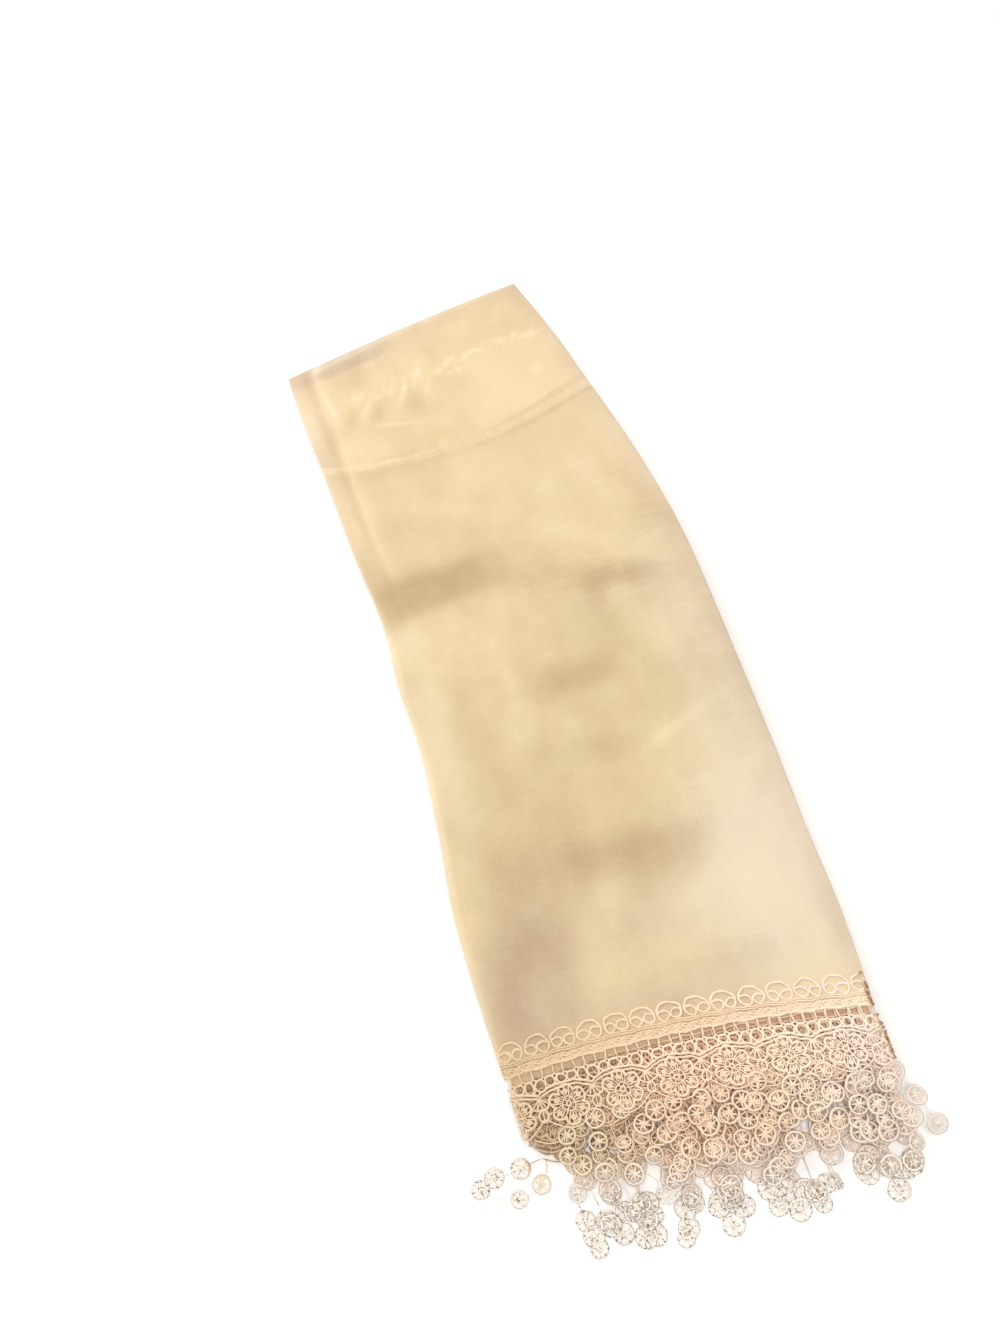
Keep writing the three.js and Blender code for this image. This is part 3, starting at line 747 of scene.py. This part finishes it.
def cord(path, radius, sides=5, closed=False, flat=0.9):
    """One lace cord through a path of across and down, in millimetres, taken at even steps."""
    path = np.asarray(path, dtype=float)
    if closed:
        path = np.vstack([path, path[:1]])
    length = np.concatenate([[0], np.cumsum(np.linalg.norm(np.diff(path, axis=0), axis=1))])
    count = max(int(round(length[-1] / CORD_STEP)), 4)
    at = np.linspace(0, length[-1], count, endpoint=not closed)
    across, down = np.interp(at, length, path[:, 0]), np.interp(at, length, path[:, 1])
    points = np.stack([across, -down, np.zeros_like(at)], axis=-1)
    return tubes(points[None] * MM, radius * MM, sides, flat=flat, closed=closed)


def ellipse(across, down, half_across, half_down, first=0.0, last=351.0):
    """Arc of an ellipse between two angles, counted from straight right and turning down."""
    angle = np.radians(np.linspace(first, last, 40))
    return np.stack([across + half_across * np.cos(angle), down + half_down * np.sin(angle)], axis=-1)


def arch(across):
    """Drop of the upper arch cord: a parabola with its peak at the middle of the repeat."""
    return ARCH_PEAK + (ARCH_VALLEY - ARCH_PEAK) * (2 * across / REPEAT - 1) ** 2


def petal_reach(angle):
    """From the flower's middle to its outline: out to the petals' round tips and in to the notches."""
    lobe = np.abs(np.cos(FLOWER["petals"] * angle / 2)) ** 0.55
    return FLOWER["notch"] + (FLOWER["tip"] - FLOWER["notch"]) * lobe


def flower_cords():
    """A round flower: a lobed outline, two rings about the middle, threads from the inner ring to the
    notches and three from the outer ring into each petal, and a seed ring on each petal."""
    middle = np.array([REPEAT / 2, FLOWER["middle"]])
    angle = np.linspace(0, 2 * np.pi, 145)[:-1]
    outline = np.stack([np.sin(angle), -np.cos(angle)], axis=-1) * petal_reach(angle)[:, None]
    cords = [cord(middle + outline, 0.70, closed=True)]
    for reach, radius in ((FLOWER["eye"], 0.6), (FLOWER["ring"], 0.42)):
        cords.append(cord(ellipse(*middle, reach, reach), radius, closed=True))
    for step in range(4 * FLOWER["petals"]):
        turn = np.pi * step / FLOWER["petals"] / 2
        way = np.array([np.sin(turn), -np.cos(turn)])
        inner = 1.2 if step % 4 == 2 else FLOWER["ring"]
        cords.append(cord([middle + inner * way, middle + petal_reach(turn) * way], 0.40))
        if step % 4 == 0:
            cords.append(cord(ellipse(*(middle + FLOWER["seed"] * way), 1.0, 1.0), 0.5, closed=True))
    return cords


def fan_cords():
    """Between two flowers: spokes fanned out under the arches' meeting, an arc below and a small ring."""
    root = ARCH_VALLEY + ARCH_PAIR
    cords = [cord(ellipse(0, root, FAN_REACH, FAN_REACH, 24, 156), 0.55)]
    for angle in np.radians([-54, -27, 0, 27, 54]):
        end = [FAN_REACH * np.sin(angle), root + FAN_REACH * np.cos(angle)]
        cords.append(cord([[0, root - 0.4], end], 0.42))
    cords.append(cord(ellipse(0, 23.4, 2.3, 2.7), 0.55, closed=True))
    for side in (-1, 1):
        cords.append(cord([[4.6 * side, 22.6], [2.1 * side, 23.4]], 0.38))
    cords.append(cord([[0, 20.8], [0, 26.0]], 0.34))
    return cords


def open_rows():
    """Rows below the cloth's edge: ladder bars with a sagging loop between each two, rings that fill the
    way down to the arches, and the two arch cords."""
    cell = REPEAT / LADDER_CELLS
    cords = [cord([[-OVERLAP, 0.0], [REPEAT + OVERLAP, 0.0]], 0.65)]
    for bar in range(LADDER_CELLS):
        left = bar * cell
        cords.append(cord([[left, 0], [left, LADDER_FOOT]], 0.55))
        cords.append(cord(ellipse(left + cell / 2, LADDER_FOOT - 0.4, cell / 2, 1.5, 180, 0), 0.55))
    for loop in range(LOOPS):
        across = (loop + 0.5) * REPEAT / LOOPS
        half = (arch(across) - LADDER_FOOT - 0.7) / 2
        cords.append(cord(ellipse(across, arch(across) - half, 2.5, half), 0.6, closed=True))
    across = np.linspace(-OVERLAP, REPEAT + OVERLAP, 40)
    cords.append(cord(np.stack([across, arch(across)], axis=-1), 0.68))
    cords.append(cord(np.stack([across, arch(across) + ARCH_PAIR], axis=-1), 0.60))
    return cords


def sewn_rows():
    """Rows on the cloth: the band, of straight cords and braids of two crossing waves, and two scrolls."""
    across = np.linspace(-OVERLAP, REPEAT + OVERLAP, 160)
    cords = [cord([[-OVERLAP, down], [REPEAT + OVERLAP, down]], 0.5) for down in BAND_CORDS]
    for row, down in enumerate(BAND_BRAIDS):
        for side in (-1, 1):
            slow = np.sin(2 * np.pi * across * 2 / REPEAT + 2.1 * row)
            quick = 2 * np.pi * across * BAND_WAVES / REPEAT + 1.3 * row
            wave = side * (0.50 + 0.16 * slow) * np.sin(quick + 0.9 * side * slow)
            cords.append(cord(np.stack([across, down + wave], axis=-1), 0.36))
    stops = np.arange(len(SCROLL), dtype=float)
    scroll = through_stops(np.linspace(0, stops[-1], 70), stops, SCROLL) * np.array([1.0, -1.0])
    for share in (0.25, 0.75):
        cords.append(cord(scroll + np.array([share * REPEAT, BAND_TOP]), 0.66))
    return cords


def hem_course():
    """The lace's way through the stack: start, direction and length of each layer's level stretch, the
    radius of the round turn after it, and the distance along the strip at which each of these begins."""
    hem = np.array(1.0)
    ends = np.array([layer_ends(layer, hem) for layer in range(LAYERS)])
    run = ends[:, 1] - ends[:, 0]
    lengths = np.linalg.norm(run, axis=-1)
    radii = np.append((LACE_LEVELS[:-1] - LACE_LEVELS[1:]) / 2, 0)
    marks = np.concatenate([[0], np.cumsum(np.stack([lengths, np.pi * radii], axis=-1))])[:-2]
    return ends[:, 0], unit(run), lengths, radii, marks


HEM_STARTS, HEM_WAYS, HEM_LENGTHS, HEM_RADII, HEM_MARKS = hem_course()
HEM_TOTAL = HEM_MARKS[-1] + HEM_LENGTHS[-1]
REPEAT_LENGTH = HEM_TOTAL / REPEATS_IN_ALL


def lay_in_hem(points):
    """Lays a flat strip's points, along, up and out of it, in the stack: level along each layer and round
    each turn by the angle of their distance, with the face up on one layer and down on the next. What is
    past either end of the strip is turned in, and nothing goes under the floor."""
    past = np.maximum(points[:, 0] - HEM_TOTAL, 0)
    along = np.abs(points[:, 0]) - 2 * past
    out = points[:, 2] + TURNED_IN * (past > 0) - TURNED_IN * (points[:, 0] < 0)
    stretch = np.clip(np.searchsorted(HEM_MARKS, along, side="right") - 1, 0, len(HEM_MARKS) - 1)
    layer = stretch // 2
    beyond = along - HEM_MARKS[stretch]
    turning = stretch % 2 == 1
    radius, length = HEM_RADII[layer], HEM_LENGTHS[layer]
    angle = np.where(turning, beyond / np.where(turning, radius, 1), 0)
    level_run = np.where(turning, length, beyond)
    face = 1 - 2 * (layer % 2)
    arm = radius + face * out
    laid = np.empty_like(points)
    laid[:, :2] = HEM_STARTS[layer] + HEM_WAYS[layer] * (level_run + arm * np.sin(angle))[:, None]
    share = np.clip(level_run / length, 0, 1)
    laid[:, 1] += points[:, 1] + row_bow(share, np.ones_like(share))
    laid[:, 2] = np.maximum(LACE_LEVELS[layer] - radius + arm * np.cos(angle), LACE_CLEAR)
    return laid


def copied_faces(faces, count, size):
    """Quads of several copies of a mesh that has this many points."""
    return (faces + np.arange(count)[:, None, None] * size).reshape(-1, 4)


def lace_strip(cords, first, count):
    """A run of repeats of the same cords, laid in the stack with each thread a little uneven: its points,
    its quads and how far each point is below the cloth's edge."""
    points, faces = joined(cords)
    starts = (first + np.arange(count))[:, None] * REPEAT_LENGTH
    along = (points[:, 0] * REPEAT_LENGTH / (REPEAT * MM) + starts).ravel()
    strip = np.tile(points, (count, 1))
    x, y = along / MM, strip[:, 1] / MM
    wander = 0.26 * np.sin(0.61 * x + 0.37 * y) + 0.22 * np.sin(0.23 * x - 0.71 * y + 2)
    waver = 0.30 * np.sin(0.41 * x - 0.29 * y + 3) + 0.15 * np.sin(1.3 * x + 0.5 * y)
    ripple = 0.25 * np.sin(0.19 * x + 0.24 * y) + 0.14 * np.sin(0.83 * x - 0.6 * y)
    strip = np.stack([along + wander * MM, strip[:, 1] + waver * MM, strip[:, 2] + ripple * MM], axis=-1)
    return lay_in_hem(strip), copied_faces(faces, count, len(points)), -strip[:, 1]


# LACE_SHADE and LACE_SHADOW are painted shade: on the lower folds, the band and the hem's left end, and the
# shadow in the folds. LACE_PALE is painted light at the hem's right end and the paler colour of the fringe's
# ends, and PALE_SHADOW is painted shade in flecks on those ends
LACE = tint(252, 223, 190)
LACE_LIGHT = tint(255, 236, 212)
LACE_SHADE = tint(234, 200, 163)
LACE_SHADOW = tint(158, 117, 86)
LACE_PALE = tint(250, 230, 212)
PALE_LIGHT = tint(255, 245, 231)
PALE_SHADOW = tint(156, 128, 103)
OLIVE_TINGE = tint(250, 255, 253)
ROSY_TINGE = tint(255, 250, 251)


def lace_material():
    """Embroidery thread wound close over its cords: fine twisted ribs, cream. Its painted shade makes it
    deeper where the shade is 1, and brown with shadow, as in the folds, where it is 2. The fringe's ends,
    where it is under 0, are pale and flecked with painted shade, and the hem's right end is painted lighter.
    The thread is tinged olive towards the left, and rosy in the middle under the band."""
    start, finish = new_material("lace_thread")
    place = start.object_place()
    ribs = start.noise(place, 1900.0, 2.0)
    patches = start.noise(place, 55.0, 2.0)
    shade_flecks = start.noise(place, 750.0, 1.0)
    deep = start.attribute("deep")
    pale = 0 - deep
    across = start.node("ShaderNodeSeparateXYZ", {}, {"Vector": place}, output="X")
    leftward = 0 - across
    under = 0 - start.node("ShaderNodeSeparateXYZ", {}, {"Vector": place}, output="Y")
    middle = across.between(-0.04, -0.015) * leftward.between(-0.045, -0.015) * under.between(0.184, 0.196)
    mottled = deep + (patches - 0.5) * 0.3 + (shade_flecks - 0.5) * 0.9
    colour = (ribs * 0.6 + patches * 0.4).between(0.3, 0.7).blend(LACE, LACE_LIGHT)
    colour = mottled.between(0.0, 1.0).blend(colour, LACE_SHADE)
    colour = mottled.between(1.0, 2.0).blend(colour, LACE_SHADOW)
    colour = leftward.between(0.02, 0.07).blend(colour, OLIVE_TINGE, "MULTIPLY")
    colour = middle.blend(colour, ROSY_TINGE, "MULTIPLY")
    colour = pale.between(0.0, 0.5).blend(colour, LACE_PALE)
    colour = pale.between(0.5, 1.0).blend(colour, shade_flecks.between(0.36, 0.46).blend(PALE_SHADOW, PALE_LIGHT))
    return finish({
        "Base Color": colour, "Roughness": 0.55 + ribs * 0.25, "Normal": start.bump(0.6, 0.18 * MM, ribs),
        "Sheen Weight": 0.4, "Sheen Roughness": 0.5, "Specular IOR Level": 0.35,
    })


def hem_light_and_shade(points):
    """Painted shade, deeper at the hem's left end, through 0 at the middle, to painted light, paler at its
    right end.
    """
    deep = 0.85 * (1 - smoothstep(points[:, 0], -0.11, 0.04))
    return deep - 0.45 * smoothstep(points[:, 0], 0.01, 0.09)


def fold_shadow(points):
    """Painted shadow on the right fold."""
    return 2.4 * smoothstep(points[:, 0], 0.0905, 0.0935)


lace_look = lace_material()
hem_cords = open_rows() + flower_cords() + fan_cords()
top_points, top_faces, top_down = lace_strip(sewn_rows() + hem_cords, FIRST_REPEAT, REPEATS_ON_TOP + 1)
in_band = smoothstep(top_down, (BAND_TOP - 1.2) * MM, BAND_TOP * MM) * (1 - smoothstep(top_down, 0, MM))
# painted shade on the band, stronger towards the right
band_deep = 0.28 + 0.26 * smoothstep(top_points[:, 0], -0.08, 0.02)
top_deep = hem_light_and_shade(top_points) + fold_shadow(top_points) + in_band * band_deep
lace_pieces = [mesh_piece("lace_hem_top", top_points, top_faces, lace_look, deep=top_deep)]
under_first = FIRST_REPEAT + REPEATS_ON_TOP + 1
for place, count in zip(("middle", "lower"), REPEATS_UNDER):
    under_points, under_faces, under_down = lace_strip(hem_cords, under_first, count)
    under_first += count
    # painted shade on the lace of the lower folds, in the shadow of those above, lighter far below the edge
    # towards the right
    rightward = 0.2 + 0.8 * smoothstep(under_points[:, 0], -0.09, 0.02)
    under_deep = 0.9 - 0.45 * rightward * smoothstep(under_down, 12 * MM, 26 * MM)
    under_deep += 0.8 * hem_light_and_shade(under_points) + fold_shadow(under_points)
    name = f"lace_hem_{place}_folds"
    lace_pieces.append(mesh_piece(name, under_points, under_faces, lace_look, deep=under_deep))
for lace in lace_pieces:
    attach(lace, "root")
    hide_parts("lace_hem")

# Fringe: small lace wheels strung on threads that hang from a cord along the lace's lobed lower edge,
# the same on each of the seven layers. Each wheel is a corded rim, spokes and a knot in the middle.
LACE_VALLEY, LACE_LOBE = 23, 31
FRINGE_CORD = 1.55
CORD_RADIUS = 0.38
WHEEL = {"rim": 4.4, "cord": 0.78, "spokes": 7, "spoke": 1.0, "knot": 1.6, "reach": 5.2}
RIM_STEPS = 13
PALE_FROM, PALE_AT = 44 * MM, 80 * MM
THREAD_RADIUS = 0.22
THREAD_STEPS = 12
EDGE_POINTS = 113
FAN_DEGREES, SWAY_DEGREES, SWAY_STEP = 7, 2, 2.4
CURL_LENGTH = 11 * MM
SAG = 0.35 / (50 * MM)
FILLS_OUTER, FILLS_INNER = 15, 9
WHEEL_TILT, WHEEL_SIZES = 0.38, (0.86, 1.12)
THREAD_SHIFTS = (0.5, 0.3, 0.62, 0.4, 0.7, 0.35, 0.5)
LONG_THREADS = ((8, 24, 43), (15, 33), (9, 26, 50), (16, 37))
SHORT_THREADS = ((14, 36), (9, 27), (20, 43))
FILL_THREADS = ((1, 13), (6, 18), (1,), (2, 12, 25), (3, 16, 29))
SPLAYED_LEFT = ((0.06, 2, (12, 23, 36), -2.45), (0.0, -90, (12, 26), 0))
SPLAYED_RIGHT = ((6.95, 8, (19, 35), 0.15), (6.8, -6, (10, 27, 43), 0.1))
TAILS = (
    (0.6, -8, (32, 40, 46), 0), (1.62, -10, (35, 46), 0), (1.86, -4, (41, 50), 0), (2.53, -3, (37, 51), 0),
    (2.81, 6, (40, 53), 0), (3.1, 0, (34, 47), 0), (3.4, 0, (31, 45), 0), (3.92, 0, (39, 48), 0),
    (4.31, 1, (42, 56), 0), (4.82, 0, (36, 48), 0), (5.97, 2, (37,), 0), (6.1, 6, (28, 37), 0),
)
FLOOR_CLEAR = 0.3 * MM
# Open gaps between the threads: middle X, Y and radius
GAPS = np.array([
    [-63, -216, 1.5], [-53, -225, 2.5], [-46, -215, 2.5], [-39, -214, 2], [-53, -246, 4], [-44, -246, 3],
    [-36, -239, 1.2], [-29, -255, 1.5], [4, -262, 4], [37, -244, 2], [35, -263, 5.5], [53, -266, 4],
    [72, -250, 2], [78, -267, 4.5],
]) * MM


def lace_edge(layer, share):
    """Points on the cord along the lace's lower edge, which has a rounded lobe for each repeat, at shares
    of the layer's width from the left."""
    local = share if layer % 2 == 0 else 1 - share
    along = HEM_MARKS[2 * layer] + local * HEM_LENGTHS[layer] * 0.9999
    lobe = np.abs(np.sin(np.pi * (along / REPEAT_LENGTH - FIRST_REPEAT)))
    down = LACE_VALLEY + (LACE_LOBE - LACE_VALLEY) * lobe + FRINGE_CORD
    return lay_in_hem(np.stack([along, -down * MM, np.zeros_like(along)], axis=-1))


def wheel_shape():
    """One wheel about the origin, flat in X and Y: a wavy rim, spokes, and a knot that is a double cone."""
    angle = np.linspace(0, 2 * np.pi, RIM_STEPS, endpoint=False)
    wavy = 1 + 0.025 * np.sin(5 * angle) + 0.02 * np.cos(3 * angle + 1)
    circle = np.stack([np.cos(angle) * wavy, np.sin(angle) * wavy, 0 * angle], axis=-1)
    rim = tubes(circle[None] * WHEEL["rim"] * MM, WHEEL["cord"] * MM, 3, flat=0.75, closed=True)
    spoke = np.arange(WHEEL["spokes"])
    turn = 2 * np.pi * spoke / len(spoke) + 0.12 * np.sin(4 * spoke)
    way = np.stack([np.cos(turn), np.sin(turn), 0 * turn], axis=-1)
    reach = np.array([0.0, 0.98])[None, :, None]
    spokes = tubes(way[:, None] * reach * WHEEL["rim"] * MM, WHEEL["spoke"] * MM, 3, flat=0.6, first=1.0)
    knot_path = np.array([[0, 0, -0.6], [0, 0, 0.0], [0, 0, 0.6]])[None] * MM
    knot = tubes(knot_path, WHEEL["knot"] * MM, 5, reference=(0, 1, 0))
    return joined([rim, spokes, knot])


def layer_threads(layer, draw):
    """Threads of one layer: place along its width in repeats, lean from straight down, its wheels' drops and
    its bend in degrees a millimetre. Long threads hang evenly and shorter ones fill in between, with chance
    in their places, and thin out towards the left. A few are splayed past the stack's sides as listed, and
    the lowest layer has listed long tails."""
    outer = layer in (0, LAYERS - 1)
    kinds = LONG_THREADS if outer else SHORT_THREADS
    count = REPEATS_ON_TOP * (2 if outer else 1)
    threads = {0: list(SPLAYED_RIGHT), LAYERS - 1: list(SPLAYED_LEFT)}.get(layer, [])
    for index in range(1, count):
        along = (index + THREAD_SHIFTS[layer]) * REPEATS_ON_TOP / count
        sway = SWAY_DEGREES * np.sin(SWAY_STEP * index + layer)
        lean = FAN_DEGREES * (along / REPEATS_ON_TOP - 0.5) + sway
        threads.append((along, lean, kinds[(index + layer) % len(kinds)], 0))
    fills = FILLS_OUTER if outer else FILLS_INNER
    for index in range(fills):
        along = REPEATS_ON_TOP * ((index + draw.uniform(0.1, 0.9)) / fills) ** 0.75
        kind = FILL_THREADS[draw.integers(3 if along < 2 else len(FILL_THREADS))]
        threads.append((along, draw.normal(0, 7), tuple(np.array(kind) + draw.uniform(0, 4)), 0))
    return threads + list(TAILS if layer == LAYERS - 1 else ())


def thread_line(thread, layer, draw):
    """Points of one thread from the lace's edge to its last wheel, curving aside and sagging as it goes, and
    pushed straight out of each open gap until its wheels clear it."""
    along, lean, wheels, bend = thread
    root = lace_edge(layer, np.array([along / REPEATS_ON_TOP]))[0]
    far = np.linspace(0, wheels[-1], THREAD_STEPS) * MM
    curl, phase = draw.uniform(0.02, 0.12), draw.uniform(0, 6.28)
    angle = np.radians(lean + bend * far / MM) + curl * np.sin(far / CURL_LENGTH + phase)
    line = np.empty((THREAD_STEPS, 3))
    line[:, 0] = root[0] + far * np.sin(angle)
    line[:, 1] = root[1] - far * np.cos(angle)
    line[:, 2] = np.maximum(root[2] * (1 - SAG * far), THREAD_RADIUS * MM + FLOOR_CLEAR)
    for gap in GAPS:
        away = line[1:, :2] - gap[:2]
        distance = np.linalg.norm(away, axis=1, keepdims=True)
        push = np.maximum(gap[2] + WHEEL["rim"] * MM - distance, 0)
        line[1:, :2] += away / distance * push
    return line


def turned_wheels(centres, draw):
    """The wheels at their centres, each spun and tilted by chance, but tilted no further than its height
    over the floor allows."""
    points, faces = wheel_shape()
    count = len(centres)
    room = np.clip((centres[:, 2] - FLOOR_CLEAR) / (WHEEL["reach"] * MM), 0.0, 0.95)
    tilt = np.minimum(np.abs(draw.normal(0, WHEEL_TILT, count)), np.arcsin(room) * 0.8)[:, None]
    head = draw.uniform(0, 2 * np.pi, count)[:, None]
    spin = draw.uniform(0, 2 * np.pi, count)[:, None]
    flat = points[None] * draw.uniform(*WHEEL_SIZES, count)[:, None, None]
    x = flat[..., 0] * np.cos(spin) - flat[..., 1] * np.sin(spin)
    y = flat[..., 0] * np.sin(spin) + flat[..., 1] * np.cos(spin)
    z = flat[..., 2]
    uphill = x * np.cos(head) + y * np.sin(head)
    shift = uphill * (np.cos(tilt) - 1) - z * np.sin(tilt)
    height = uphill * np.sin(tilt) + z * np.cos(tilt)
    wheels = np.stack([x + shift * np.cos(head), y + shift * np.sin(head), height], axis=-1)
    lift = np.maximum(FLOOR_CLEAR - height.min(axis=1) - centres[:, 2], 0)
    wheels += centres[:, None]
    wheels[..., 2] += lift[:, None]
    return wheels.reshape(-1, 3), copied_faces(faces, count, len(points))


def fringe_layer(layer, draw):
    """Edge cord, threads and wheels of one layer."""
    parts = [tubes(lace_edge(layer, np.linspace(0, 1, EDGE_POINTS))[None], CORD_RADIUS * MM, 5)]
    centres = []
    for thread in layer_threads(layer, draw):
        line = thread_line(thread, layer, draw)
        parts.append(tubes(line[None], THREAD_RADIUS * MM, 4))
        stops = np.linspace(0, thread[2][-1], THREAD_STEPS)
        centres += [[np.interp(wheel, stops, line[:, axis]) for axis in range(3)] for wheel in thread[2]]
    parts.append(turned_wheels(np.array(centres), draw))
    return joined(parts)


def fringe_shade(layer, points):
    """Painted shade, deeper on the lower layers, which lie in the shadow of those above, with the hem's
    painted light and shade; paler out at the side and far below the straight line between the hem's ends,
    sooner towards the left."""
    x = points[:, 0]
    below = np.interp(x, ROW_SIDES[-1, [0, 2]], ROW_SIDES[-1, [1, 3]]) - points[:, 1]
    sooner = 12 * MM * (1 - smoothstep(x, -0.09, 0.0)) - 8 * MM * smoothstep(x, 0.02, 0.07)
    pale = np.maximum(smoothstep(below + sooner, PALE_FROM, PALE_AT), smoothstep(-x, 0.094, 0.1))
    leftward = 1 - smoothstep(x, 0.0, 0.06)
    shadowed = (0.1 + 0.9 * leftward) * (1 - smoothstep(below, 40 * MM, 60 * MM))
    depth, hem_shading = layer / (LAYERS - 1), hem_light_and_shade(points)
    deep = (0.3 * leftward + 0.95 * shadowed) * depth + hem_shading - 0.4 * (1 - depth) * np.maximum(hem_shading, 0)
    return deep * (1 - pale) - pale


draw = np.random.default_rng(41)
for layer in range(LAYERS):
    fringe_points, fringe_faces = fringe_layer(layer, draw)
    fringe = mesh_piece(f"fringe_wheels_{layer + 1}", fringe_points, fringe_faces, lace_look,
                        deep=fringe_shade(layer, fringe_points))
    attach(fringe, "root")
    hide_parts(f"fringe_{layer + 1}")

# Studio: a plain pale floor under soft light, with the main lamp beyond the heading and a fill lamp over
# the lace, and the camera over the lace end, turned as the hand-held picture was.
FLOOR_SIZE = 4.0
SKY_STRENGTH = 0.45
CAMERA_AT = np.array([-22.3, -302.8, 784.0]) * MM
CAMERA_AIM = np.array([-28.0, 46.0, 0.0]) * MM
CAMERA_ROLL = np.radians(20)
CAMERA_VIEW = np.radians(48)


def floor_material():
    """Matt off-white board with a hardly visible mottle."""
    start, finish = new_material("pale_floor")
    mottle = start.noise(start.object_place(), 9.0, 3.0)
    return finish({"Base Color": mottle.blend(tint(248, 248, 247), tint(252, 252, 251)), "Roughness": 0.9})


half = FLOOR_SIZE / 2
floor_points = np.array([[-half, -half, 0], [half, -half, 0], [half, half, 0], [-half, half, 0]])
floor = mesh_piece("floor", floor_points, np.array([[0, 1, 2, 3]]), floor_material())


def stand_and_face(item, place, aim, roll=0.0):
    """Puts an item at a place with its -Z towards its aim, and its top leaning by the roll to its right."""
    back = unit(np.subtract(place, aim))
    right = unit(np.cross((0, 0, 1), back))
    up = np.cross(back, right)
    stand = np.eye(4)
    stand[:3, 0] = np.cos(roll) * right - np.sin(roll) * up
    stand[:3, 1] = np.cos(roll) * up + np.sin(roll) * right
    stand[:3, 2] = back
    stand[:3, 3] = place
    item.matrix_world = stand.T.tolist()


def soft_lamp(name, place, aim, size, power, colour):
    """Square area lamp that faces its aim."""
    light = bpy.data.lights.new(name, "AREA")
    light.shape = "SQUARE"
    light.size = size
    light.energy = power
    light.color = colour
    stand_and_face(in_scene(name, light), place, aim)


soft_lamp("main_lamp", place=(-0.6, 1.7, 1.5), aim=(0, 0, 0), size=1.2, power=21, colour=(1, 0.98, 0.94))
soft_lamp("fill_lamp", place=(0.05, -0.45, 1.7), aim=(0, -0.15, 0), size=0.7, power=17,
          colour=(1, 0.98, 0.96))
world = bpy.data.worlds.new("studio")
world.use_nodes = True
sky = world.node_tree.nodes["Background"].inputs
sky["Color"].default_value = (1.0, 1.0, 1.0, 1.0)
sky["Strength"].default_value = SKY_STRENGTH
bpy.context.scene.world = world
bpy.context.scene.view_settings.view_transform = "Standard"

lens = bpy.data.cameras.new("photo_camera")
lens.sensor_fit = "VERTICAL"
lens.angle = CAMERA_VIEW
lens.clip_start = 0.01
camera = in_scene("photo_camera", lens)
stand_and_face(camera, CAMERA_AT, CAMERA_AIM, CAMERA_ROLL)
bpy.context.scene.camera = camera
